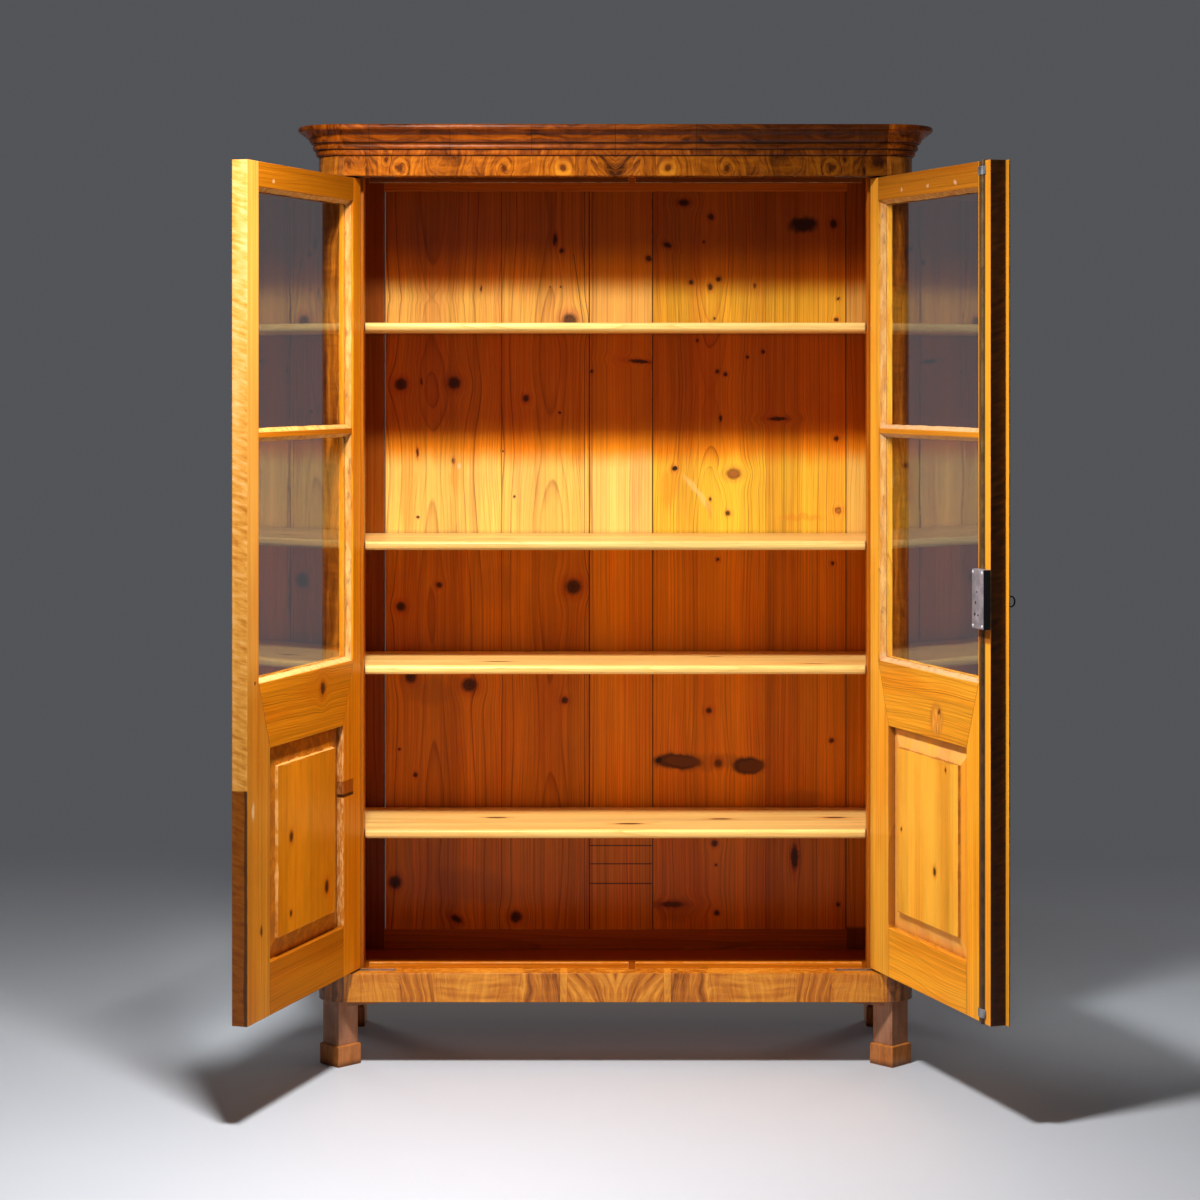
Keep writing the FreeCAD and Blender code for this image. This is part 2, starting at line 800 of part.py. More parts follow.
def key():
    cover = door_inside + lock_depth
    tip = door_setback - key_stub
    bow_y = tip - bow_width / 2 + bow_rim / 2
    ring = oval(bow_height, bow_width).cut(oval(bow_height - 2 * bow_rim, bow_width - 2 * bow_rim))
    ring = ring.extrude(Vector(0, 0, bow_thickness))
    ring.translate(Vector(0, 0, -bow_thickness / 2))
    ring.rotate(Vector(0, 0, 0), Vector(0, 1, 0), 90)
    ring.translate(Vector(rod_x, bow_y, key_z))
    bit_y = door_inside + bit_gap
    half = bit_thickness / 2
    bit = block(rod_x - half, rod_x + half, bit_y, bit_y + bit_width, key_z - bit_reach, key_z)
    return joined(key_bore(key_radius, tip, cover), ring, bit)


def astragal():
    left = -free_edge - astragal_overlap
    right = -free_edge + astragal_cover
    front = door_setback - astragal_thickness
    edge = door_setback - astragal_edge
    back = door_setback - astragal_gap
    face = outline(plan, (left, edge), [
        (((left + right) / 2, front), (right, edge)),
        (right, door_setback),
        (-free_edge, door_setback),
        (-free_edge, back),
        (left, back),
    ])
    face.translate(Vector(0, 0, door_bottom))
    return face.extrude(Vector(0, 0, door_top - door_bottom))


# Writing the pieces

def write(name, shape):
    solids = shape if isinstance(shape, list) else [shape]
    group = Part.makeCompound([s for solid in solids for s in solid.Solids])
    group.translate(Vector(0, -origin_y, 0))
    group.exportStep("parts/" + name + ".step")


def swung(shape, side):
    # Opens a piece of the left door (side -1) or the right door (side 1) as it stands.
    angle = -left_open_angle if side < 0 else right_open_angle
    parts = shape if isinstance(shape, list) else [shape]
    turned = []
    for part in parts:
        copy = part.copy()
        copy.rotate(Vector(side * pivot_x, pivot_y, 0), up, angle)
        turned.append(copy)
    return turned


def write_pair(name, left):
    write(name + "_left", left)
    write(name + "_right", mirrored(left))


def write_carcass():
    plates = pivot_plates()
    plates += [mirrored(p) for p in plates]
    write("pivot_plates", plates)
    write("apron", apron(plates))
    write("frieze", frieze(plates))
    write_pair("front_post", front_post())
    write_pair("rear_post", rear_post())
    write_pair("side_panel", side_panel())
    write_pair("front_leg", front_leg())
    write_pair("base_side", base_side())
    write_pair("frieze_side", frieze_side())
    write_pair("cornice", cornice_return())
    write("cornice_front", cornice_front())
    write("leg_cuffs", leg_cuffs())
    write("knee_blocks", [knee_block(), mirrored(knee_block())])
    write("dust_board", dust_board())
    write("ceiling_board", deck(ceiling_z))
    write("bottom_board", deck(bottom_board_top - board_thickness))
    write("door_stops", door_stops())
    for name, piece in back_pieces().items():
        write(name, piece)
    for number, top in enumerate(shelf_tops, 1):
        write("shelf_%d" % number, shelf(top))
    write("shelf_cleats", shelf_cleats())


def write_doors():
    frame = door_frame()
    frame["panel"] = door_panel()
    frame["glazing_bar"] = glazing_bar()
    frame["panes"] = panes()
    frame["pivot_sockets"] = pivot_sockets()
    for name, piece in frame.items():
        parts = piece if isinstance(piece, list) else [piece]
        write("left_" + name, swung(parts, -1))
        parts = [mirrored(p) for p in parts]
        if name == "meeting_stile":
            parts = [p.cut([rod_groove(), key_hole()]) for p in parts]
        write("right_" + name, swung(parts, 1))
    fittings = {
        "astragal": astragal(),
        "lock_case": lock_case(),
        "rod_guides": rod_guides(),
        "upper_rod": upper_rod(),
        "lower_rod": lower_rod(),
        "key": key(),
    }
    for name, piece in fittings.items():
        write(name, swung(piece, 1))


os.makedirs("parts", exist_ok=True)
write_carcass()
write_doors()
print("pivots at x = -/+ %.3f, y = %.3f, origin moved by %.3f" % (pivot_x, pivot_y - origin_y, origin_y))
print("key at height %.3f, %.3f from the right pivot" % (key_z, pivot_x - rod_x))
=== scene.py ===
import bmesh
import bpy
import math
import random
from functools import partial
from mathutils import Matrix, Vector


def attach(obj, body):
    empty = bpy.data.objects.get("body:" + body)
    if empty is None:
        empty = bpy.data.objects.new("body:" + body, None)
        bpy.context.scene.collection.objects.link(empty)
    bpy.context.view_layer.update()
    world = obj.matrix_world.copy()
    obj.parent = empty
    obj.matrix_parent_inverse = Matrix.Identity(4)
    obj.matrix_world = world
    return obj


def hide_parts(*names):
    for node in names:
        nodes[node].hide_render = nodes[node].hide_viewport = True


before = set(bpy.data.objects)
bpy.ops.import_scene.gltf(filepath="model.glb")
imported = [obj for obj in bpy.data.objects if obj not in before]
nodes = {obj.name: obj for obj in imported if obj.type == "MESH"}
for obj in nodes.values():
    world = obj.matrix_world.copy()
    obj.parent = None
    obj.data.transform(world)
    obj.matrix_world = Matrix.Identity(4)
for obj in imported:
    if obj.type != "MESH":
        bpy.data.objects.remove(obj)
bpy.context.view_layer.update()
scene = bpy.context.scene
scene.view_settings.view_transform = "Standard"
print("frame loaded with", len(nodes), "pieces of joinery and ironwork")


# a dictionary whose values can be read by name; one that is missing gives None
class Look(dict):
    __getattr__ = dict.get


# camera, level and straight on, the frame shifted down as in the photograph
viewpoint = Look(place=(0.0, -5.5695, 1.4035), lens=82.98, sensor=36.0, shiftX=-0.0129, shiftY=-0.1875)


def placeCamera(values):
    eye = bpy.data.cameras.new("bookcaseView")
    eye.lens = values.lens
    eye.sensor_width = values.sensor
    eye.shift_x = values.shiftX
    eye.shift_y = values.shiftY
    holder = bpy.data.objects.new("bookcaseView", eye)
    holder.location = values.place
    holder.rotation_euler = (math.radians(90), 0, 0)
    scene.collection.objects.link(holder)
    scene.camera = holder


placeCamera(viewpoint)

# node wiring: a sign between two wires lays one math node in the tree in hand
bench = Look(tree=None)


def sign(operation, turned=False):
    def lay(self, other=None):
        return calc(operation, other, self) if turned else calc(operation, self, other)
    return lay


class Wire:
    def __init__(self, socket):
        self.socket = socket

    __add__, __radd__ = sign("ADD"), sign("ADD", True)
    __sub__, __rsub__ = sign("SUBTRACT"), sign("SUBTRACT", True)
    __mul__, __rmul__ = sign("MULTIPLY"), sign("MULTIPLY", True)
    __lt__, __gt__ = sign("LESS_THAN"), sign("GREATER_THAN")
    __truediv__, __abs__ = sign("DIVIDE"), sign("ABSOLUTE")


def put(socket, value):
    if isinstance(value, Wire):
        value = value.socket
    if isinstance(value, bpy.types.NodeSocket):
        bench.tree.links.new(value, socket)
    elif value is not None:
        socket.default_value = value


def fill(made, values):
    for name, value in values.items():
        put(made.inputs[name], value)
    return made


def node(kind, *values, **fields):
    made = bench.tree.nodes.new("ShaderNode" + kind)
    for name, value in fields.items():
        setattr(made, name, value)
    for socket, value in zip(made.inputs, values):
        put(socket, value)
    return made


def wires(sockets):
    return Look({socket.name: Wire(socket) for socket in sockets})


def calc(operation, a, b=None, c=None, clamp=False):
    return Wire(node("Math", a, b, c, operation=operation, use_clamp=clamp).outputs[0])


# the same for places and colours
def vCalc(operation, *values, result="Vector"):
    return Wire(node("VectorMath", *values, operation=operation).outputs[result])


def vScale(a, size):
    return vCalc("SCALE", a, None, None, size)


mad, most = partial(calc, "MULTIPLY_ADD"), partial(calc, "MAXIMUM")
vAdd, vSub = partial(vCalc, "ADD"), partial(vCalc, "SUBTRACT")
vMul, vMad = partial(vCalc, "MULTIPLY"), partial(vCalc, "MULTIPLY_ADD")
vDot, vLength = partial(vCalc, "DOT_PRODUCT", result="Value"), partial(vCalc, "LENGTH", result="Value")


def split(vector):
    return [Wire(part) for part in node("SeparateXYZ", vector).outputs]


def gather(*parts):
    return Wire(node("CombineXYZ", *parts).outputs[0])


def noise(vector, stretch, detail=2.0, rough=0.5, tint=False):
    stretch = stretch if isinstance(stretch, tuple) else (stretch,) * 3
    made = node("TexNoise")
    fill(made, Look(Vector=vMul(vector, stretch), Scale=1.0, Detail=detail, Roughness=rough))
    return Wire(made.outputs["Color" if tint else "Fac"])


def lineNoise(value, detail=2.0):
    made = node("TexNoise", noise_dimensions="1D")
    return wires(fill(made, Look(W=value, Scale=1.0, Detail=detail)).outputs).Fac


def spread(value, low, high, first=0.0, last=1.0):
    made = node("MapRange", value, low, high, first, last, interpolation_type="SMOOTHSTEP")
    return Wire(made.outputs[0])


def lineMask(value, at, outer, inner):
    # full on a line, fading out beside it
    return spread(abs(value - at), outer, inner)


def swing(value, amount, middle=0.0):
    # a noise turned into a swing of that amount to both sides of a middle value
    return mad(value - 0.5, amount * 2, middle)


def stray(place, stretch, detail=2.0, rough=0.5):
    # small moves to all sides, for places that should not lie too regularly
    return vSub(noise(place, stretch, detail, rough, tint=True), (0.5, 0.5, 0.5))


def shade(color):
    return tuple(color) + (1.0,) if len(color) == 3 else tuple(color)


def ramp(value, stops, mode="LINEAR"):
    made = node("ValToRGB", value)
    band = made.color_ramp
    band.interpolation = mode
    band.elements[0].position = stops[0][0]
    band.elements[1].position = stops[-1][0]
    for place, _ in stops[1:-1]:
        band.elements.new(place)
    for element, (_, color) in zip(band.elements, stops):
        element.color = shade(color if hasattr(color, "__len__") else (color, color, color))
    return Wire(made.outputs["Color"])


def blend(factor, a, b):
    made = node("Mix", factor, data_type="RGBA")
    put(made.inputs[6], shade(a) if isinstance(a, tuple) else a)
    put(made.inputs[7], shade(b) if isinstance(b, tuple) else b)
    return Wire(made.outputs[2])


def tinted(factor, color, tint):
    return blend(factor, color, vMul(color, tint))


def localPlace(vector, centre, turn, size):
    # a place seen from a centre, turned (in degrees) and measured in sizes
    turn = [math.radians(angle) for angle in turn]
    return Wire(node("Mapping", vector, centre, turn, size, vector_type="TEXTURE").outputs[0])


def newGroup(name, inputs, outputs):
    # an input without a value is a place; three numbers are one too, four are a colour
    tree = bpy.data.node_groups.new(name, "ShaderNodeTree")
    bench["tree"] = tree
    for label, value in inputs.items():
        kind = "Float" if isinstance(value, float) else "Color" if value and len(value) == 4 else "Vector"
        socket = tree.interface.new_socket(label, in_out="INPUT", socket_type="NodeSocket" + kind)
        if value is not None:
            socket.default_value = value
    for label, kind in outputs.items():
        tree.interface.new_socket(label, in_out="OUTPUT", socket_type="NodeSocket" + kind)
    return wires(tree.nodes.new("NodeGroupInput").outputs), tree.nodes.new("NodeGroupOutput")


def useGroup(group, **values):
    made = node("Group", node_tree=bpy.data.node_groups[group])
    return wires(fill(made, values).outputs)


skinParts = Look(color="Color", height="Float", rough="Float")


# growth rings of a softwood board: coords are across, deep, along; pith is across, deep, taper
def makePineBoard():
    start, end = newGroup("pineBoard", Look(
        coords=None, pith=(0, 0.05, 0.012), ringWidth=0.004, waver=1.0, sway=0.0, bend=0.0, seed=0.0,
        early=(0.8, 0.37, 0.07, 1), late=(0.5, 0.16, 0.025, 1), knot=0.0, halo=0.0, streaks=1.0,
        mottle=0.0,
    ), skinParts)
    place, seed = start.coords, start.seed
    moved = vAdd(place, vScale((1.7, 0.9, 4.1), seed))
    slow = vMul(stray(moved, (7, 7, 1.1)), (0.04, 0.02, 0))
    bent = vAdd(place, vScale(slow, start.waver))
    flat = vLength(vMul(vSub(bent, start.pith), (1, 1, 0)))
    along = split(place)[2]
    radius = mad(split(start.pith)[2], along, flat)
    # the trunk's own bends bring rings to the surface and take them in again: arches and pointed loops
    bends = swing(lineNoise(mad(along, 2.7, seed * 1.9), 1.0), 1.0)
    radius = mad(bends, start.sway, radius)
    radius = mad(start.bend, start.ringWidth, radius)
    count = radius / start.ringWidth
    jitter = swing(lineNoise(mad(count, 0.23, seed)), 1.5)
    phase = calc("FRACT", count + jitter)
    growth = ramp(phase, [(0, 0.0), (0.5, 0.08), (0.82, 0.4), (0.94, 1.0), (1, 0.0)])
    bold = spread(lineNoise(mad(count, 0.61, seed)), 0.3, 0.72, 0.16, 1.05)
    patchy = spread(noise(moved, (26, 26, 3)), 0.3, 0.7, 0.55, 1.0)
    growth = growth * bold * patchy
    fibre = noise(moved, (700, 700, 9), 3.0, 0.65)
    streak = noise(moved, (150, 150, 1.3), 3.0, 0.6)
    tone = noise(moved, (17, 17, 0.8))
    color = blend(growth, start.early, start.late)
    light = swing(fibre, 0.24, 1.0)
    lines = swing(streak, 0.38) + swing(noise(moved, (330, 330, 1.0)), 0.26)
    light = mad(lines, start.streaks, light)
    light = light + swing(tone, 0.36)
    patch = swing(noise(moved, (38, 38, 11), 4.0, 0.62), 0.9)
    light = mad(patch, start.mottle, light)
    color = vScale(color, light)
    amber = spread(noise(moved, (14, 14, 2.2), 3.0, 0.6), 0.42, 0.66)
    color = tinted(amber * 0.55, color, (0.92, 0.68, 0.45))
    near = spread(start.halo, 0.45, 0.95)
    color = tinted(near * 0.6, color, (0.78, 0.5, 0.32))
    color = blend(start.knot, color, (0.03, 0.008, 0.003))
    height = mad(start.knot, -0.4, mad(fibre, 0.5, growth * 0.35))
    rough = mad(start.knot, 0.15, mad(fibre, 0.16, 0.26))
    fill(end, Look(color=color, height=height, rough=rough))


# polished walnut veneer: bands along the grain, swirls, ripple across it, pores
def makeWalnutVeneer():
    start, end = newGroup("walnutVeneer", Look(
        coords=None, seed=0.0, swirl=0.5, lightness=0.5, stripes=0.4, ripple=0.2, knot=0.0, halo=0.0,
    ), skinParts)
    moved = vAdd(start.coords, vScale((2.3, 1.1, 3.7), start.seed))
    curl = vScale(vMul(stray(moved, (11, 11, 7)), (0.09, 0.03, 0.03)), start.swirl)
    bent = vAdd(moved, curl)
    band = noise(bent, (90, 90, 3.0), 4.0, 0.6)
    fine = noise(bent, (420, 420, 8), 2.0, 0.6)
    wave = noise(bent, (16, 16, 110), 1.5)
    cloud = noise(moved, (12, 12, 6))
    pore = spread(noise(bent, (1500, 1500, 55), 1.0), 0.6, 0.74)
    level = start.lightness + swing(cloud, 0.16)
    level = mad(swing(band, 1.3), start.stripes, level)
    level = mad(swing(wave, 0.8), start.ripple, level)
    level = level + swing(fine, 0.2)
    # round a knot: a pale oval, and a dark line where the grain closes round it
    oval = ramp(start.halo, [
        (0, 0.5), (0.12, 0.5), (0.2, 0.34), (0.28, 0.5), (0.42, 0.57), (0.6, 0.58), (0.74, 0.5), (1, 0.4),
    ])
    level = level + (oval - 0.5)
    color = ramp(level, [
        (0.0, (0.014, 0.004, 0.001)), (0.22, (0.075, 0.019, 0.002)), (0.46, (0.26, 0.066, 0.004)),
        (0.7, (0.52, 0.15, 0.009)), (1.0, (0.8, 0.32, 0.03)),
    ])
    color = vScale(color, mad(pore, -0.38, 1.0))
    color = blend(start.knot, color, (0.085, 0.017, 0.002))
    rough = mad(pore, 0.2, mad(cloud, 0.12, 0.2))
    fill(end, Look(color=color, height=mad(pore, -0.5, fine), rough=rough))


# worn arrises: a rounded normal at every edge, and a broken mask where it turns
def makeEdgeWear():
    start, end = newGroup("edgeWear", Look(coords=None, reach=0.002), Look(edge="Float", normal="Vector"))
    soft = fill(node("Bevel", samples=4), Look(Radius=start.reach)).outputs[0]
    true = node("NewGeometry").outputs["True Normal"]
    turn = 1.0 - vDot(soft, true)
    patch = spread(noise(start.coords, 45, 3.0, 0.6), 0.32, 0.62)
    fill(end, Look(edge=spread(turn, 0.01, 0.16) * patch, normal=soft))


# grime that gathers in corners and along joints
def makeCrevice():
    start, end = newGroup("crevice", Look(coords=None, reach=0.02), Look(grime="Float"))
    shelter = wires(fill(node("AmbientOcclusion", samples=4), Look(Distance=start.reach)).outputs)
    patch = spread(noise(start.coords, 60, 3.0, 0.65), 0.25, 0.7, 0.45, 1.0)
    fill(end, Look(grime=spread(1.0 - shelter.AO, 0.3, 0.85) * patch))


# forged iron: blackened skin, rust and rubbed places
def makeIronSkin():
    start, end = newGroup("ironSkin", Look(
        coords=None, dark=(0.03, 0.03, 0.032, 1), bright=(0.2, 0.19, 0.19, 1), rust=0.3, edge=0.0,
    ), skinParts)
    place = start.coords
    scale = noise(place, 160, 4.0, 0.65)
    cloud = noise(place, 38, 3.0)
    pits = spread(noise(place, 520), 0.58, 0.72)
    color = blend(spread(cloud, 0.3, 0.7), start.dark, start.bright)
    color = vScale(color, swing(scale, 0.35, 1.0))
    stain = spread(noise(place, (70, 70, 25), 4.0, 0.7), 0.48, 0.7) * start.rust
    color = blend(stain, color, (0.11, 0.035, 0.012))
    color = blend(start.edge * 0.7, color, (0.42, 0.41, 0.4))
    color = vScale(color, mad(pits, -0.5, 1.0))
    rough = mad(stain, 0.3, mad(scale, 0.3, 0.3))
    fill(end, Look(color=color, height=mad(pits, -0.6, scale), rough=rough))


for makeGroup in (makePineBoard, makeWalnutVeneer, makeEdgeWear, makeCrevice, makeIronSkin):
    makeGroup()


# knots of one board push its grain aside, each (across, along, half width, half length, tilt in degrees);
# a round one goes without the last two, an upright one without the last
def makeKnotField(name, knots, push=0.75):
    start, end = newGroup(name, Look(coords=None), Look(coords="Vector", knot="Float", halo="Float"))
    place = start.coords
    flat = vMul(vMad(stray(place, 140), (0.005, 0, 0.005), place), (1, 0, 1))
    near = 60.0
    shift = (0, 0, 0)
    for across, along, wide, *more in knots:
        tall, tilt = more + [wide, 0][len(more):]
        local = localPlace(flat, (across, 0, along), (0, tilt, 0), (wide, 1, tall))
        far = vDot(local, local)
        near = calc("MINIMUM", near, far)
        shift = vMad(vScale(local, calc("POWER", 0.84, far)), (wide * push, 0, 0), shift)
    gap = calc("SQRT", near)
    ring = ramp(gap / 2.0, [(0, 0.96), (0.22, 0.88), (0.36, 0.9), (0.47, 0.6), (0.68, 0.0)])
    halo = mad(gap, -0.3226, 1.29, clamp=True)
    fill(end, Look(coords=vSub(place, shift), knot=ring, halo=halo))
    return name


# knots read off the back, in metres from the middle and from the floor
leftPanelKnots = [
    (-0.3486, 1.386, 0.0127), (-0.1935, 1.353, 0.0068, 0.0075), (-0.1207, 1.322, 0.003),
    (-0.243, 1.239, 0.002), (-0.35, 1.218, 0.003, 0.006), (-0.2186, 1.141, 0.0025, 0.003),
    (-0.099, 1.521, 0.0145), (-0.091, 0.946, 0.016, 0.0155), (-0.381, 0.95, 0.006),
    (-0.463, 0.903, 0.0097, 0.01), (-0.442, 0.751, 0.012), (-0.316, 0.734, 0.016, 0.014),
    (-0.11, 0.701, 0.007), (-0.467, 0.595, 0.003), (-0.432, 0.54, 0.0045, 0.005),
    (-0.1165, 1.6715, 0.0045, 0.005), (-0.1307, 1.6957, 0.004, 0.011, 10), (-0.141, 1.594, 0.002),
    (-0.118, 1.594, 0.002), (-0.29, 1.59, 0.002, 0.006), (-0.476, 0.308, 0.0125, 0.013),
    (-0.344, 0.229, 0.012, 0.0065, 30), (-0.215, 0.233, 0.012), (-0.4634, 1.3833, 0.0125),
    (-0.419, 1.39, 0.0025, 0.006), (-0.4277, 1.236, 0.0025, 0.009), (-0.4266, 1.0964, 0.003),
]
rightPanelKnots = [
    (0.22, 1.411, 0.004), (0.237, 1.405, 0.0045), (0.227, 1.31, 0.003, 0.007),
    (0.35, 1.309, 0.018, 0.004), (0.285, 1.442, 0.003), (0.319, 1.454, 0.004), (0.477, 1.266, 0.005),
    (0.128, 1.201, 0.006), (0.255, 1.19, 0.014, 0.01), (0.243, 1.105, 0.005), (0.481, 1.111, 0.006),
    (0.221, 1.005, 0.004), (0.469, 0.997, 0.004), (0.481, 1.568, 0.003), (0.202, 0.679, 0.006),
    (0.222, 0.565, 0.008), (0.467, 0.614, 0.005), (0.214, 0.392, 0.007), (0.387, 0.362, 0.008, 0.026),
    (0.1475, 1.776, 0.012, 0.007), (0.2067, 1.745, 0.006), (0.1125, 1.684, 0.009, 0.005, 20),
    (0.1905, 1.6908, 0.003), (0.1637, 1.6037, 0.005), (0.2045, 1.5937, 0.0045, 0.007),
    (0.2232, 1.6105, 0.005), (0.301, 1.5965, 0.003, 0.005), (0.4712, 1.7298, 0.007, 0.009),
    (0.477, 1.523, 0.005, 0.004), (0.1215, 0.26, 0.024, 0.006), (0.219, 0.2415, 0.0055, 0.0055, 20),
    (0.217, 0.345, 0.003), (0.481, 0.26, 0.004), (0.1769, 1.4783, 0.003), (0.205, 1.1357, 0.0025, 0.004),
    (0.2136, 1.526, 0.002, 0.003),
]


def splitKnots(name, knots, size=9):
    # a long list goes into several short fields, placed one after the other
    names = []
    for start in range(0, len(knots), size):
        names.append(makeKnotField("%s%d" % (name, start // size), knots[start:start + size]))
    return tuple(names)


leftPanelFields = splitKnots("leftPanelKnots", leftPanelKnots)
rightPanelFields = splitKnots("rightPanelKnots", rightPanelKnots)
makeKnotField("muntinKnots", [
    (0.052, 1.433, 0.022, 0.004, 5), (-0.052, 1.412, 0.003), (0.072, 1.655, 0.006),
])
makeKnotField("friezeKnots", [
    (0.106, 1.8227, 0.0058, 0.0066), (0.225, 1.8227, 0.0054, 0.0066), (0.437, 1.8227, 0.006, 0.0066),
    (0.464, 1.839, 0.003, 0.005), (0.53, 1.836, 0.009, 0.011, 15), (0.0, 1.81, 0.004),
], 2.6)
makeKnotField("leftLockRailKnots", [(0.786, 0.187, 0.012, 0.010)], 1.4)
makeKnotField("leftDoorPanelKnots", [
    (0.3345, 0.517, 0.0075, 0.01), (0.336, 0.37, 0.005, 0.006), (0.165, 0.391, 0.009, 0.012),
])
makeKnotField("rightDoorPanelKnots", [
    (0.2935, 0.442, 0.006, 0.008), (0.3415, 0.645, 0.003, 0.004), (0.142, 0.501, 0.003, 0.004),
])
makeKnotField("shelfDashesA", [
    (0.265, -0.252, 0.008, 0.021), (0.185, 0.029, 0.009, 0.025), (0.247, 0.221, 0.007, 0.021),
    (0.265, 0.461, 0.008, 0.022),
], 0.5)
makeKnotField("shelfDashesB", [
    (0.19, -0.245, 0.006, 0.027), (0.29, 0.21, 0.004, 0.016), (0.15, 0.41, 0.003, 0.02),
], 0.5)
print("wood, iron and knot groups ready")


def knotted(board, names):
    # passes a board's place through its knot fields
    knot, halo = 0.0, 0.0
    for name in (names,) if isinstance(names, str) else names:
        field = useGroup(name, coords=board)
        board = field.coords
        knot = most(knot, field.knot)
        halo = most(halo, field.halo)
    return board, Look(knot=knot, halo=halo)


# door places: turned back to the closed door, pivot at zero, across towards the free edge
pivotDepth = 0.065464
doorSwing = Look(
    left=Look(pivot=(-0.535, pivotDepth, 0), angle=-107.6, mirror=1),
    right=Look(pivot=(0.535, pivotDepth, 0), angle=109.1, mirror=-1),
)
doorSize = Look(middle=0.259375, edge=0.5338, glassHalf=0.224875, panelHalf=0.174875)


def closedPlace(coords, side):
    turn = doorSwing[side]
    return localPlace(coords, turn.pivot, (0, 0, turn.angle), (turn.mirror, 1, 1))


def doorPoint(side, across, deep, height):
    turn = doorSwing[side]
    spin = Matrix.Rotation(math.radians(turn.angle), 3, "Z")
    return Vector(turn.pivot) + spin @ Vector((across * turn.mirror, deep, height))


def laid(place, order):
    # axes of a board in the order across, deep, along
    axes = dict(zip("xyz", split(place)))
    return gather(*[axes[letter] for letter in order])


def newMaterial(name):
    made = bpy.data.materials.new(name)
    made.use_nodes = True
    bench["tree"] = made.node_tree
    return made, made.node_tree.nodes["Principled BSDF"], Wire(node("TexCoord").outputs["Object"])


def roughen(shader, height, strength, distance, normal=None):
    bump = node("Bump")
    fill(bump, Look(Strength=strength, Distance=distance, Height=height, Normal=normal))
    put(shader.inputs["Normal"], bump.outputs[0])


def mixOut(material, factor, first, second):
    mix = node("MixShader", factor, first.outputs[0], second.outputs[0])
    put(material.node_tree.nodes["Material Output"].inputs["Surface"], mix.outputs[0])


def dress(name, material):
    nodes[name].data.materials.clear()
    nodes[name].data.materials.append(material)


# joints between the boards of one panel, each (place of the joint, pith of the board after it):
# a dark line, and every board's own pith moved to zero
def boardJoints(place, firstPith, joints):
    across, deep, along = split(place)
    line, index, heart, last = 0.0, 0.0, firstPith, firstPith
    for joint, pith in joints:
        line = most(line, lineMask(across, joint, 0.0013, 0.0004))
        after = across > joint
        index = index + after
        heart = mad(after, pith - last, heart)
        last = pith
    return gather(across - heart, deep, mad(index, 0.83, along)), line, index


# soft-edged marks on a face, each (across, height, half width, half height, tilt, colour, strength)
def stained(place, color, marks, ragged=1.0, rim=(1.2, 0.5)):
    rag = stray(place, (55, 55, 22), 3.0, 0.6)
    flat = vMul(vMad(rag, (0.02 * ragged, 0, 0.03 * ragged), place), (1, 0, 1))
    for across, height, wide, tall, tilt, tint, strength in marks:
        local = localPlace(flat, (across, 0, height), (0, tilt, 0), (wide, 1, tall))
        color = blend(spread(vLength(local), *rim) * strength, color, tint)
    return color


pineShades = Look(
    early=(0.75, 0.235, 0.006), late=(0.24, 0.042, 0.0015), grime=(0.075, 0.02, 0.004),
    worn=(0.86, 0.48, 0.14), raw=(0.42, 0.3, 0.19), dust=(0.33, 0.31, 0.28),
)
shelfShades = Look(early=(0.92, 0.59, 0.18), late=(0.72, 0.34, 0.055))
# painted light and shade: the left door's pine darker and redder, as in grazing light, the right door's
# paler, as lit face on
doorShadesLitAndShaded = Look(
    left=Look(early=(0.73, 0.232, 0.005), late=(0.26, 0.047, 0.0015)),
    right=Look(early=(0.88, 0.365, 0.023), late=(0.42, 0.112, 0.005)),
)

# one entry a board: how it was cut from the log, how it has aged, and on some boards the light and shade
# painted into it
pinePlain = Look(
    order="xyz", pith=(0, 0.05, 0.012), ring=0.0035, waver=1.0, sway=0.006, arches=None, seed=0,
    shades=pineShades, contrast=1.0, tone=1.0, red=0.0, pale=0.0, knots=None, joints=(), seam=0.8,
    wear=0.35, grime=0.7, round=0.0022, door=None, raw=None, veneer=None, streaks=1.0, mottle=0.0,
)


def archCurve(height, points):
    # rings gained or lost along a board, as (height, rings): its arches and loops come from this
    stops = [(z / 2.0, (rings + 4.0) / 8.0) for z, rings in points]
    return mad(ramp(height / 2.0, stops, "B_SPLINE"), 8.0, -4.0)


def veneerSide(place, rule):
    # which part of a board carries the walnut
    x, y, z = split(place)
    wide = abs(x)
    if rule == "doorFront":
        return (y < -0.0135) * (x < 0.5337)
    if rule == "panelFront":
        return y < -0.0045
    if rule == "coverStrip":
        return most(y < -0.0161, x > 0.5464)
    if rule == "hingeEdge":
        return most(y < -0.0135, (x < 0.002) * (y < 0.005))
    outer = wide > 0.5985
    if rule == "outside":
        return outer
    if rule == "rearPost":
        return most(outer, z < 0.14)
    fromCentre = vLength(gather(wide - 0.55, y - 0.084464, 0.0))
    return most(outer, (fromCentre > 0.0485) * (y < 0.0845))


walnutPlain = Look(
    order="xyz", seed=0, swirl=0.6, lightness=0.45, stripes=0.5, ripple=0.2, wear=0.3, grime=0.75,
    round=0.002, wornColor=(0.6, 0.24, 0.05), coat=0.08, gloss=0.24, knotDepth=0.6,
)


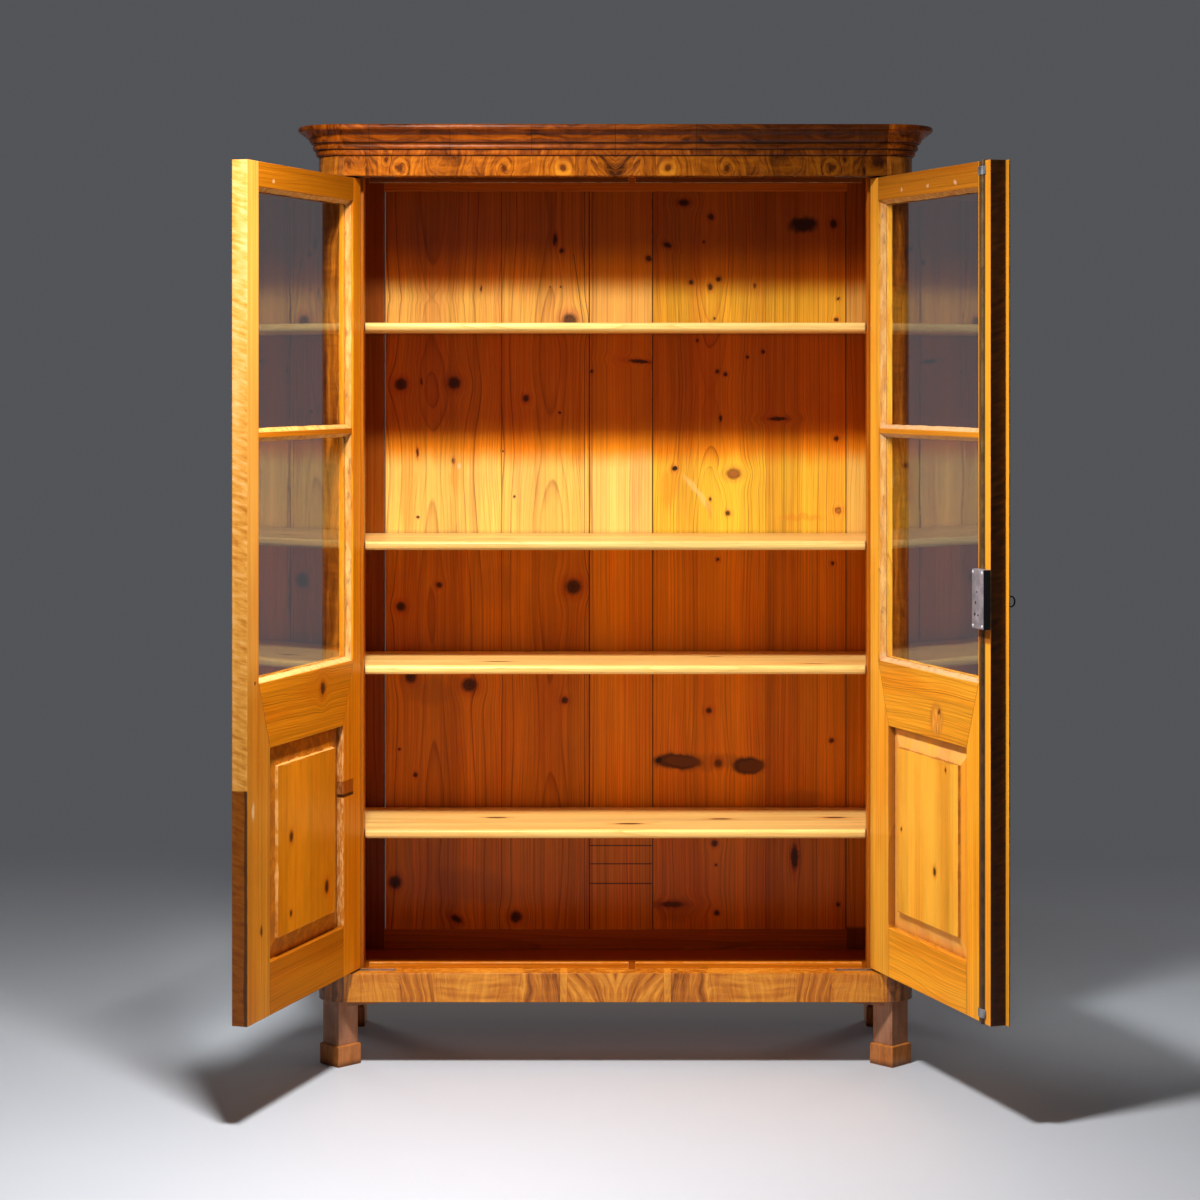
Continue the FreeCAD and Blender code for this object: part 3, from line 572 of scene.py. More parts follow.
def walnutPart(place, look):
    # a look with book is matched about the middle
    look = Look(walnutPlain, **look)
    whole = split(place)[0]
    if look.book:
        x, y, z = split(place)
        place = gather(abs(x), y, z)
    leafPlace = split(place)[0]
    if look.fan:
        # leaves next to the middle whose lines lean outwards: (reach, foot, lean, more lean further out)
        reach, foot, lean, more = look.fan
        x, y, z = split(place)
        slope = mad(x, more, lean) * (x < reach)
        place = gather(x - (z - foot) * slope, y, z)
    values = {key: look[key] for key in ("seed", "swirl", "lightness", "stripes", "ripple")}
    if look.leaves:
        # veneer leaves with their own shade and figure, (start, lightness, stripes, ripple)
        stops = [(start / 0.7, (a, b, c)) for start, a, b, c in look.leaves]
        leaf = split(ramp(leafPlace / 0.7, stops, "CONSTANT"))
        values.update(zip(("lightness", "stripes", "ripple"), leaf), seed=mad(leaf[0], 17.0, look.seed))
    place = laid(place, look.order)
    if look.knots:
        place, marks = knotted(place, look.knots)
        marks["knot"] = marks["knot"] * look.knotDepth
        if look.plainEnd:
            kept = spread(whole, look.plainEnd - 0.01, look.plainEnd)
            marks = {key: value * kept for key, value in marks.items()}
        values.update(marks)
    return useGroup("walnutVeneer", coords=place, **values)


def finishWood(shader, coords, color, height, rough, look, polish):
    worn = useGroup("edgeWear", coords=coords, reach=look.round)
    dirt = useGroup("crevice", coords=coords, reach=0.02)
    color = blend(dirt.grime * look.grime, color, pineShades.grime)
    # edge wear, on some pieces also a painted highlight
    color = blend(worn.edge * look.wear, color, look.get("wornColor", pineShades.worn))
    if look.dust:
        up = split(node("NewGeometry").outputs["Normal"])[2]
        lies = spread(up, 0.3, 0.9) * spread(noise(coords, 9, 4.0, 0.6), 0.2, 0.7)
        color = blend(lies * look.dust, color, pineShades.dust)
        rough = mad(lies, look.dust * 0.4, rough)
    fill(shader, {"Base Color": color, "Roughness": mad(dirt.grime, 0.2, rough)})
    fill(shader, dict(zip(("Specular IOR Level", "Coat Weight", "Coat Roughness"), polish)))
    roughen(shader, height, 0.25, 0.0006, worn.normal)


def toneAgeAndLight(color, look):
    # a shade of the wood under its tone, reddened and paled, for its age and, on the doors, as painted
    # light and shade
    red, pale = look.red, look.pale
    reddened = (1 - red * 0.25, 1 - red * 0.5, 1 - red * 0.55)
    paled = (1 + pale * 0.08, 1 + pale * 0.35, 1 + pale * 1.6)
    return tuple(c * look.tone * k * p for c, k, p in zip(color, reddened, paled))


def pineMaterial(name, **changes):
    look = Look(pinePlain, **changes)
    made, shader, coords = newMaterial(name)
    place = closedPlace(coords, look.door) if look.door else coords
    board = laid(place, look.order)
    seam, index = None, None
    along = split(board)[2]
    values = {}
    if look.knots:
        board, values = knotted(board, look.knots)
    if look.joints:
        board, seam, index = boardJoints(board, look.pith[0], look.joints)
    pith = (0.0 if look.joints else look.pith[0],) + tuple(look.pith[1:])
    early, late = toneAgeAndLight(look.shades.early, look), toneAgeAndLight(look.shades.late, look)
    late = tuple(max(e + (l - e) * look.contrast, 0.002) for e, l in zip(early, late))
    if look.arches:
        bend = 0.0
        for number, points in look.arches.items():
            here = calc("COMPARE", index, float(number), 0.5)
            bend = mad(here, archCurve(along, points), bend)
        values["bend"] = bend
    for key in ("waver", "sway", "seed", "streaks", "mottle"):
        values[key] = look[key]
    wood = useGroup(
        "pineBoard", coords=board, pith=pith, ringWidth=look.ring, early=shade(early), late=shade(late),
        **values,
    )
    color, height, rough = wood.color, wood.height, wood.rough
    if seam is not None:
        color = vScale(color, swing(lineNoise(index * 3.7), 0.14, 1.0))
        color = blend(seam * look.seam, color, (0.06, 0.02, 0.006))
    plain = color
    if look.extra:
        paint = look.extra
        color = paint(place, color, look.door) if look.door else paint(place, color)
    if look.raw:
        # bare wood on the side turned away has neither marks nor polish
        axis, limit = look.raw
        bare = split(coords)["xyz".index(axis)] > limit
        color = blend(bare, color, blend(0.75, plain, pineShades.raw))
        rough = mad(bare, 0.35, rough)
    if look.veneer:
        mask = veneerSide(place, look.veneer.side)
        face = walnutPart(place, look.veneer)
        color = blend(mask, color, face.color)
        height = height * mad(mask, -0.4, 1.0)
        rough = mad(mask, -0.08, rough)
    finishWood(shader, coords, color, height, rough, look, (0.17, 0.04, 0.14))
    return made


def walnutMaterial(name, **changes):
    look = Look(walnutPlain, **changes)
    made, shader, coords = newMaterial(name)
    face = walnutPart(coords, look)
    color = face.color
    height = split(coords)[2]
    if look.lower:
        # the lowest member of the moulding carries the veneer of the board below it
        limit, below = look.lower
        color = blend(height < limit, color, walnutPart(coords, below).color)
    if look.tint:
        color = vMul(color, look.tint)
    if look.faded:
        # old polish worn to a bare pinkish brown
        tint, amount = look.faded
        bare = spread(noise(coords, (34, 34, 14), 4.0, 0.65), 0.3, 0.62, amount * 0.45, amount)
        streak = swing(noise(coords, (160, 160, 9), 3.0, 0.6), 0.32, 1.0)
        color = blend(bare, color, vScale(tint, streak))
    if look.segments:
        # crossbanded lengths of a moulding, butted with a fine dark joint
        axis, cuts = look.segments
        along = split(coords)["xyz".index(axis)]
        line, index = 0.0, 0.0
        for cut in cuts:
            line = most(line, lineMask(along, cut, 0.0012, 0.0003))
            index = index + (along > cut)
        color = vScale(color, swing(lineNoise(index * 5.3), 0.3, 1.0))
        color = blend(line * 0.7, color, (0.04, 0.014, 0.006))
    # painted shade: fine dark lines under the steps of the moulding
    for level in look.get("grooves", ()):
        near = lineMask(height, level, 0.0018, 0.0006)
        color = blend(near * 0.85, color, (0.02, 0.006, 0.002))
    if look.foot:
        # darker towards the floor
        color = vScale(color, spread(height, 0.0, look.foot, 0.35, 1.0))
    if look.dim:
        # painted shade: darker from left to right, as the lamp stands to the left
        start, finish, share = look.dim
        color = vScale(color, spread(split(coords)[0], start, finish, 1.0, share))
    finishWood(shader, coords, color, face.height, face.rough, look, (look.gloss, look.coat, 0.1))
    return made


# back frame and panels: painted light, a paler yellow band over the lower part of the two upper bays
# where the lamp reaches the back, and painted shade, darker at the tops of those bays under the frieze
# and the top shelf and browner over the lower bays
paintedLightBands = Look(
    bays=((1.505, 1.57, 1.63, 0.6), (1.055, 1.195, 1.25, 0.92)), bleach=(1.22, 2.5, 0.165),
    smoke=(
        (1.6, 1.7, 1.9, (0.44, 0.34, 0.36)), (1.242, 1.315, 1.515, (0.64, 0.45, 0.3)),
        (0.1, 0.15, 1.05, (1.0, 0.97, 0.25)),
    ),
)


def paintLightAndShade(place, color, bleach=paintedLightBands.bleach):
    z = split(place)[2]
    height = z + swing(noise(place, (24, 24, 3)), 0.02)
    red, green, _ = split(color)
    pale = vMul(gather(red, green, red), bleach)
    # painted light: the lit lower part of each upper bay made paler and yellower
    for foot, full, end, strength in paintedLightBands.bays:
        mask = spread(height, end, full) * (z > foot)
        color = blend(mask * strength, color, pale)
    # painted shade: the tops of the upper bays darkened, the lower bays made browner
    for start, full, top, tint in paintedLightBands.smoke:
        mask = spread(height, start, full) * (z < top)
        color = tinted(mask, color, tint)
    return color


def scribedLines(place, color):
    # painted light and shade of the back, with a paler tint of its own
    color = paintLightAndShade(place, color, (1.2, 2.35, 0.19))
    # three marks cut across the muntin low down
    height = split(place)[2]
    line = 0.0
    for level in (0.3875, 0.348, 0.3055):
        line = most(line, lineMask(height, level, 0.0017, 0.0007))
    return blend(line * 0.92, color, (0.05, 0.014, 0.004))


def stopPaintedShade(place, color):
    # painted shade: the upper strip darkened where the frieze shades it
    return tinted(split(place)[2] > 1.7, color, (0.3, 0.2, 0.2))


def longCrack(place, color):
    # a drying crack in the left panel, leaning a little
    x, _, z = split(place)
    lean = mad(z - 1.516, -0.137, -0.07)
    line = lineMask(x, lean, 0.0014, 0.0004) * ((z > 1.5) * (z < 1.665))
    return blend(line * 0.8, color, (0.05, 0.016, 0.005))


def gapShadeLines(place, color, edges):
    # dark lines where a panel goes into its grooves, partly the gap and partly painted shade cast by the
    # frame beside it, each from the lit to the dark side
    for lit, dark in edges:
        near = spread(split(place)[0], lit, dark)
        color = blend(near * 0.85, color, (0.03, 0.01, 0.003))
    return color


def stileLightAndShade(place, color):
    # painted light and shade as on the back panels, and painted shade at the right stile's foot in the
    # dark corner
    color = paintLightAndShade(place, color)
    foot = spread(split(place)[2], 0.216, 0.206)
    return tinted(foot, color, (0.3, 0.2, 0.15))


stains = Look(
    brown=(0.3, 0.085, 0.01), deep=(0.25, 0.07, 0.01), russet=(0.26, 0.075, 0.009),
    shell=(0.045, 0.013, 0.003), heart=(0.17, 0.05, 0.007),
)


def rightPanelMarks(place, color):
    # amber run and pale scar below a knot, stains low down, brown-hearted knots, dark lines at both
    # sides, partly painted shade
    # painted light and shade of the back
    color = paintLightAndShade(place, color, (1.22, 2.35, 0.06))
    color = stained(place, color, [
        (0.118, 1.165, 0.022, 0.055, 12, (0.74, 0.26, 0.02), 0.5),
        (0.178, 1.149, 0.008, 0.055, -36, (0.94, 0.62, 0.25), 0.45),
        (0.204, 1.112, 0.006, 0.022, -20, (0.6, 0.24, 0.05), 0.4),
        (0.4, 1.095, 0.055, 0.01, 0, (0.7, 0.22, 0.02), 0.35),
        (0.3, 1.6, 0.05, 0.03, 0, (0.62, 0.2, 0.02), 0.2),
        (0.21, 0.567, 0.12, 0.02, 0, stains.deep, 0.35), (0.4, 0.49, 0.05, 0.02, 0, stains.brown, 0.3),
        (0.13, 0.25, 0.05, 0.03, 0, stains.deep, 0.3), (0.131, 0.569, 0.06, 0.02, 4, stains.russet, 0.4),
        (0.29, 0.559, 0.045, 0.022, -3, stains.russet, 0.4),
        (0.407, 1.727, 0.036, 0.018, 0, (0.018, 0.006, 0.002), 0.95),
    ])
    color = stained(place, color, [
        (0.255, 1.19, 0.0135, 0.0092, 0, (0.48, 0.16, 0.03), 0.85),
        (0.481, 1.111, 0.0055, 0.0055, 0, (0.6, 0.22, 0.03), 0.8),
    ], 0.15)
    # two branches cut lengthwise, dark round a brown heart, and a black knot at the head of the run
    color = stained(place, color, [
        (0.134, 0.569, 0.054, 0.0165, 4, stains.shell, 0.88),
        (0.143, 0.569, 0.04, 0.0105, 4, stains.heart, 0.75),
        (0.094, 0.572, 0.007, 0.006, 0, (0.012, 0.004, 0.001), 0.9),
        (0.287, 0.559, 0.037, 0.02, -3, stains.shell, 0.88),
        (0.293, 0.559, 0.029, 0.0135, -3, stains.heart, 0.7),
        (0.128, 1.201, 0.0062, 0.0058, 0, (0.02, 0.006, 0.002), 0.95),
    ], 0.4, (1.12, 0.75))
    return gapShadeLines(place, color, ((0.0822, 0.0808), (0.4958, 0.4972)))


def leftPanelMarks(place, color):
    # painted light and shade of the back
    color = paintLightAndShade(place, color)
    height = split(place)[2]
    # painted shade: the left panel darker between the lowest shelf and the third
    lower = spread(height, 1.06, 1.04) * (height > 0.46)
    color = tinted(lower, color, (0.84, 0.8, 0.8))
    color = stained(place, color, [(-0.099, 1.518, 0.0125, 0.012, 0, (0.16, 0.055, 0.02), 0.6)], 0.15)
    color = stained(place, color, [
        (-0.345, 1.19, 0.012, 0.045, 0, (0.72, 0.24, 0.02), 0.4),
        (-0.45, 1.15, 0.02, 0.1, 0, (0.66, 0.22, 0.02), 0.35),
        (-0.337, 1.207, 0.006, 0.008, 0, (0.9, 0.64, 0.36), 0.6),
        (-0.26, 0.95, 0.05, 0.05, 20, stains.brown, 0.25),
        (-0.4, 0.72, 0.06, 0.03, 0, (0.28, 0.08, 0.01), 0.3),
        (-0.3, 0.3, 0.1, 0.04, 10, stains.brown, 0.3),
    ])
    color = gapShadeLines(place, color, ((-0.0588, -0.0572),))
    return longCrack(place, color)


rear = ("y", 0.412)
leftArches = [
    (0.19, -1.0), (0.35, 0.6), (0.5, -0.6), (0.7, 1.2), (0.9, 0.3), (1.0, 1.0), (1.127, 2.0), (1.2, 2.6),
    (1.28, 2.0), (1.31, 1.0), (1.345, 0.0), (1.378, -0.5), (1.41, 0.0), (1.46, 1.0), (1.555, 2.0),
    (1.57, 2.3), (1.588, 2.0), (1.66, 1.0), (1.78, -0.4),
]
middleArches = [
    (0.19, 0.4), (0.4, -1.0), (0.62, 1.0), (0.8, -0.4), (0.95, -1.6), (1.1, -1.0), (1.181, 0.0),
    (1.235, 0.6), (1.288, 0.0), (1.38, -1.0), (1.47, -1.5), (1.58, 0.0), (1.66, 1.0), (1.72, 1.4),
    (1.79, 0.8),
]
rightArches = [
    (0.19, -0.8), (0.36, 0.8), (0.52, -1.0), (0.72, 1.0), (0.9, -0.6), (1.08, -1.0), (1.162, 0.0),
    (1.237, 1.0), (1.335, 2.0), (1.375, 2.4), (1.4145, 2.0), (1.5, 1.0), (1.6, 0.0), (1.7, -0.8),
    (1.79, 0.2),
]
pineWork = {
    "back_panel_left": Look(
        pith=(-0.395, 0.455, 0.002), ring=0.0058, waver=0.8, sway=0.003, seed=3.1,
        arches={0: leftArches, 1: middleArches}, knots=leftPanelFields,
        joints=((-0.246, -0.14), (-0.0665, 0.25)), mottle=0.16, raw=rear, extra=leftPanelMarks,
    ),
    "back_panel_right": Look(
        pith=(0.206, 0.46, 0.002), ring=0.0052, waver=0.8, sway=0.003, seed=7.7, arches={0: rightArches},
        knots=rightPanelFields, joints=((0.3245, 0.75), (0.3935, 0.15)), seam=0.4, mottle=0.12, raw=rear,
        extra=rightPanelMarks,
    ),
    "back_muntin": Look(
        pith=(0.2, 0.46, 0.004), ring=0.0048, waver=0.6, seed=1.3, pale=0.1, contrast=0.7,
        knots="muntinKnots", raw=rear, extra=scribedLines, wear=0.6,
    ),
    "back_stile_left": Look(pith=(-0.6, 0.47, 0.004), ring=0.003, seed=5.9, tone=0.42, red=0.9, raw=rear),
    "back_stile_right": Look(
        pith=(0.62, 0.47, 0.004), ring=0.003, seed=2.2, tone=0.95, pale=0.1, raw=rear, extra=stileLightAndShade,
    ),
    "back_top_rail": Look(
        order="zyx", pith=(1.75, 0.47, 0.004), ring=0.003, seed=4.4, tone=0.75, red=0.6, raw=rear,
    ),
    "back_bottom_rail": Look(
        order="zyx", pith=(0.17, 0.425, 0.014), ring=0.0065, waver=1.6, seed=9.2, tone=0.75, red=0.8,
        raw=rear,
    ),
    "bottom_board": Look(order="yzx", pith=(0.2, 0.1, 0.006), ring=0.004, seed=6.1, tone=0.66, red=0.9),
    "ceiling_board": Look(order="yzx", pith=(0.2, 1.9, 0.006), ring=0.004, seed=8.3, tone=0.75, red=0.6),
    "dust_board": Look(
        order="yzx", pith=(0.25, 1.8, 0.01), ring=0.005, seed=2.9, raw=("z", 1.0), dust=0.7,
    ),
    # door stops: the lower edge worn and painted bright as a highlight
    "door_stops": Look(
        order="zyx", pith=(0.3, 0.12, 0.002), ring=0.002, seed=1.9, wear=0.9, wornColor=(0.95, 0.66, 0.3),
        extra=stopPaintedShade,
    ),
    "shelf_cleats": Look(order="zxy", pith=(1.0, 0.5, 0.002), ring=0.003, seed=5.1, tone=0.8, red=0.3),
}
# shelves: paler pine, partly painted light, and front edges worn and painted near white as a highlight
shelfWork = Look(
    order="yzx", ring=0.005, sway=0.01, shades=shelfShades, wear=0.75, round=0.004,
    wornColor=(0.97, 0.78, 0.54),
)
shelfBoards = {
    "shelf_1": ((0.2, 0.4, 0.012), 11.0, "shelfDashesA"),
    "shelf_2": ((0.3, 0.74, 0.01), 12.7, "shelfDashesB"),
    "shelf_3": ((0.15, 1.0, 0.012), 14.2, "shelfDashesB"), "shelf_4": ((0.25, 1.45, 0.012), 15.8, None),
}
for name, (pith, seed, dashes) in shelfBoards.items():
    pineWork[name] = Look(shelfWork, pith=pith, seed=seed, knots=dashes)
for name, values in pineWork.items():
    dress(name, pineMaterial("pine_" + name, **values))

# sides and posts: pine within, walnut on the side the veneer rule names
veneered = {
    "side_panel": (
        "side", Look(order="yxz", pith=(0.2, 0.7, 0.01), ring=0.004, seed=31, tone=0.92),
        Look(side="outside", order="yxz", seed=21.0, swirl=1.2, stripes=0.55),
    ),
    "front_post": (
        "post", Look(pith=(0.9, 0.2, 0.004), ring=0.003, seed=33, tone=0.8, red=0.5),
        Look(side="post", seed=23.0, swirl=0.7, lightness=0.42),
    ),
    "rear_post": (
        "rearPost",
        Look(order="yxz", pith=(0.4, 0.9, 0.004), ring=0.003, seed=35, tone=0.75, red=0.5, raw=rear),
        Look(side="rearPost", order="yxz", seed=25.0, swirl=0.4, lightness=0.38, stripes=0.4, ripple=0.1),
    ),
}
for hand, more in (("left", 0.0), ("right", 4.6)):
    for piece, (short, wood, veneer) in veneered.items():
        look = Look(wood, seed=wood.seed + more, veneer=Look(veneer, seed=veneer.seed + more))
        dress(piece + "_" + hand, pineMaterial(short + "_" + hand, **look))
print("pine carcass dressed")

# walnut: apron and frieze are matched about the middle, leaves as (start, lightness, stripes, ripple)
apronLeaves = [
    (0.0, 0.7, 0.5, 0.1), (0.097, 0.9, 0.15, 0.1), (0.111, 0.66, 0.6, 0.1), (0.186, 0.82, 0.22, 0.35),
    (0.366, 0.68, 0.6, 0.1), (0.437, 0.76, 0.35, 0.2),
]
friezeLeaves = [
    (0.0, 0.58, 0.66, 0.2), (0.035, 0.56, 0.55, 0.1), (0.08, 0.64, 0.5, 0.25), (0.3, 0.56, 0.55, 0.3),
    (0.36, 0.62, 0.5, 0.25), (0.48, 0.52, 0.55, 0.2),
]
corniceCuts = (-0.497, -0.334, -0.169, 0.0, 0.163, 0.328, 0.494)
# heights of the painted shade lines at the moulding's steps
corniceStepShadows = (1.8468, 1.8597, 1.8732)
corniceLook = Look(
    swirl=1.2, lightness=0.5, stripes=0.46, ripple=0.12, coat=0.05, gloss=0.12, grooves=corniceStepShadows,
    tint=(0.98, 0.72, 0.4),
)
# the frieze's edges worn and painted paler as a highlight
friezeLook = Look(
    book=True, leaves=friezeLeaves, fan=(0.05, 1.807, 0.9, 0.0), seed=43.0, swirl=1.7,
    knots="friezeKnots", knotDepth=0.9, plainEnd=-0.49, wear=0.5,
)
walnutWork = {
    "apron": Look(book=True, leaves=apronLeaves, fan=(0.097, 0.134, 0.3, 4.0), seed=41.0, swirl=0.8),
    "frieze": Look(friezeLook, gloss=0.12, coat=0.05, dim=(-0.35, 0.5, 0.4), tint=(1.0, 0.86, 0.46)),
    "cornice_front": Look(
        corniceLook, order="zyx", seed=45.0, segments=("x", corniceCuts), lower=(1.8597, friezeLook),
        dim=(-0.5, 0.5, 0.34),
    ),
    "leg_cuffs": Look(
        seed=61.0, swirl=0.9, lightness=0.5, stripes=0.4, ripple=0.1, coat=0.1,
        faded=((0.62, 0.22, 0.06), 0.62), wear=0.8, wornColor=(0.7, 0.25, 0.03), foot=0.014,
    ),
    "knee_blocks": Look(order="zyx", seed=63.0, lightness=0.4, faded=((0.4, 0.17, 0.075), 0.4)),
}
walnutPairs = {
    "cornice": Look(corniceLook, order="zxy", seed=46.0, segments=("y", (0.0845, 0.25, 0.41))),
    "base_side": Look(
        order="yxz", seed=51.0, swirl=1.6, lightness=0.4, stripes=0.7, faded=((0.3, 0.15, 0.08), 0.35),
    ),
    "frieze_side": Look(order="yxz", seed=53.0, swirl=1.1, lightness=0.55, stripes=0.45),
    "front_leg": Look(
        seed=57.0, swirl=0.4, stripes=0.35, ripple=0.1, coat=0.1, faded=((0.4, 0.19, 0.105), 0.8),
    ),
}
for hand, more in (("left", 0.0), ("right", 2.4)):
    for piece, look in walnutPairs.items():
        walnutWork[piece + "_" + hand] = Look(look, seed=look.seed + more)
for name, values in walnutWork.items():
    dress(name, walnutMaterial("walnut_" + name, **values))
print("walnut carcass dressed")


# doors: pine towards the shelves, walnut outside; free edges with a curled edging, pale on the left door
# and painted paler towards the top as lit, painted nearly black on the right door as shade
freeEdgeLitAndShaded = Look(
    left=Look(
        dark=(0.4, 0.13, 0.012), mid=(0.64, 0.28, 0.045), pale=(0.76, 0.42, 0.16), low=(0.36, 0.22, 0.08),
    ),
    right=Look(
        dark=(0.012, 0.004, 0.001), mid=(0.04, 0.012, 0.002), pale=(0.085, 0.027, 0.004),
        low=(1.2, 1.15, 1.1),
    ),
)


def rippledEdge(place, color, hand):
    x, y, z = split(place)
    look = freeEdgeLitAndShaded[hand]
    edge = x > doorSize.edge
    leaning = gather(x, y, mad(y, 0.3, z))
    wave = noise(leaning, (30, 26, 105), 3.0, 0.6)
    tone = noise(place, (40, 40, 3))
    level = swing(wave, 0.9, 0.5) + swing(tone, 0.3)
    # painted light: the curled edging paler towards the top
    level = level + spread(z, 0.8, 1.6, -0.1, 0.13)
    curl = ramp(level, [(0.0, look.dark), (0.5, look.mid), (1.0, look.pale)])
    # a length let in below, and the dark line of its joint
    low = spread(z, 0.634, 0.63)
    curl = tinted(low, curl, look.low)
    seam = y + swing(lineNoise(z * 6.0), 0.004)
    seam = spread(seam, 0.0075, 0.0105) * low
    curl = blend(seam * 0.85, curl, (0.045, 0.017, 0.006))
    color = blend(edge, color, curl)
    if hand == "left":
        # painted shade: the left meeting stile's face darker below the lock rail
        deep = spread(z, 0.9, 0.78) * (1.0 - edge)
        color = tinted(deep, color, (0.84, 0.68, 0.33))
        return stained(place, color, [
            (0.502, 0.829, 0.004, 0.004, 0, (0.12, 0.035, 0.006), 0.9),
            (0.508, 0.592, 0.009, 0.017, 0, (0.84, 0.6, 0.36), 0.55),
            (0.473, 0.36, 0.006, 0.013, 0, (0.07, 0.02, 0.004), 0.9),
        ])
    # wood blackened by iron and grease beside the rod
    greased = lineMask(x, 0.4995, 0.0132, 0.0118) * (y > 0.004)
    color = blend(greased * 0.93, color, (0.052, 0.023, 0.007))
    # the rod runs in a hollow below the lock, its wood stained red
    below = spread(z, 0.9, 0.908) * spread(z, 0.936, 0.931)
    below = below * ((x > 0.486) * (y > 0.0145))
    return blend(below * 0.8, color, (0.2, 0.045, 0.008))


fieldSize = Look(middle=0.4975, halfWidth=0.135875, halfHeight=0.1635)
fieldLook = Look(
    left=Look(
        bevel=stains.brown, depth=0.85, arris=(0.9, 0.46, 0.12), rub=0.9, reach=0.002, sides=0.1,
        outer=1.0,
    ),
    right=Look(
        bevel=(0.84, 0.43, 0.15), depth=0.6, arris=(0.3, 0.07, 0.012), rub=0.7, reach=0.0013, sides=0.6,
        outer=0.15,
    ),
)


def wornField(place, color, hand):
    # raised panel: bevels in another shade, and a line along the arris round the field, pale on the left
    # door and dark on the right
    look = fieldLook[hand]
    x, y, z = split(place)
    sideways = abs(x - doorSize.middle) - fieldSize.halfWidth
    upright = abs(z - fieldSize.middle) - fieldSize.halfHeight
    out = most(sideways, upright)
    inside = y > -0.004
    patch = spread(noise(place, 40, 4.0, 0.65), 0.36, 0.62, 0.3, 1.0)
    bevel = (out > 0.0003) * inside * (patch * look.depth)
    outer = spread(sideways - upright, -0.0005, 0.0005) * (x > doorSize.middle)
    bevel = bevel * mad(outer, look.outer - 1.0, 1.0)
    if hand == "right":
        rim = outer * ((sideways > 0.0003) * inside)
        color = tinted(rim, color, (0.85, 0.66, 0.35))
    color = blend(bevel, color, look.bevel)
    band = noise(place, 28, 3.0, 0.6)
    reach = most(swing(band, look.reach * 6, look.reach), 0.0004)
    rub = spread(abs(out), reach, 0.0) * inside
    # strongest along the top, broken along the sides
    kept = spread(z, 0.645, 0.658, look.sides, 1.0)
    broken = spread(noise(place, 24, 3.0, 0.6), 0.4, 0.58, kept, 1.0)
    rub = rub * (broken * look.rub)
    return blend(rub, color, look.arris)


def stileRubAndShade(place, color, hand):
    # hinge stile: the arris towards the panel is rubbed on the left door and painted dark on the right
    # door, as the shade in the panel's recess; the left door has a let-in piece
    x, _, z = split(place)
    beside = lineMask(z, 0.5, 0.206, 0.196)
    near = x - swing(noise(place, (30, 30, 18), 3.0, 0.6), 0.003, 0.0825)
    rub = spread(near, -0.001, 0.001) * beside
    if hand == "right":
        # painted shade: a dark line along the right door's arris, the shade in the panel's recess
        return blend(rub * 0.7, color, (0.3, 0.08, 0.012))
    flake = spread(noise(place, (260, 260, 45), 3.0, 0.65), 0.44, 0.6, 0.1, 1.0)
    color = blend(rub * 0.45, color, stains.brown)
    color = blend(rub * flake * 0.75, color, (0.88, 0.47, 0.16))
    # the let-in piece, with the open joint below it
    for level, tall, tint in ((0.572, 0.015, (0.5, 0.36, 0.3)), (0.5585, 0.0026, (0.16, 0.12, 0.1))):
        wide = lineMask(x, 0.0625, 0.03, 0.026)
        high = lineMask(z, level, tall + 0.0015, tall)
        color = tinted(wide * high, color, tint)
    return color


def railEnds(place, color, top, foot):
    # fine dark joint where a rail meets the stiles; the ends of the lock rail slant
    across, deep, height = split(place)
    half = mad(height - foot[0], (top[1] - foot[1]) / (top[0] - foot[0]), foot[1])
    gap = half - abs(across - doorSize.middle)
    line = spread(gap, 0.0022, 0.0006) * (deep > 0.012)
    return blend(line * 0.75, color, (0.12, 0.032, 0.005))


def peggedRail(place, color, hand):
    # filled nail holes in the top rail: one in the left door, three in the right
    color = railEnds(place, color, (1.803, doorSize.glassHalf), (1.756, doorSize.glassHalf))
    if hand == "left":
        return stained(place, color, [(0.42, 1.772, 0.004, 0.004, 0, (0.8, 0.5, 0.24), 0.5)])
    holes = ((0.147, 1.7715), (0.263, 1.773), (0.386, 1.7695))
    return stained(place, color, [(u, z, 0.0065, 0.0045, 0, (0.76, 0.44, 0.26), 0.7) for u, z in holes])


def spikeKnot(place, color, hand):
    # a branch cut along its length shows as a streaked shell in the right lock rail
    color = railEnds(place, color, (0.826, doorSize.glassHalf), (0.7, doorSize.panelHalf))
    if hand == "left":
        return color
    streak = swing(noise(place, (230, 60, 26), 3.0), 1.3, 0.86)
    shell = vScale((0.86, 0.33, 0.04), streak)
    color = stained(place, color, [
        (0.304, 0.738, 0.03, 0.034, 8, (0.34, 0.095, 0.012), 0.8),
        (0.304, 0.736, 0.026, 0.03, 8, shell, 0.95),
    ], 0.3)
    return stained(place, color, [(0.316, 0.752, 0.005, 0.007, 20, (0.09, 0.028, 0.008), 0.9)])


def footRail(place, color, hand):
    return railEnds(place, color, (0.295, doorSize.panelHalf), (0.196, doorSize.panelHalf))


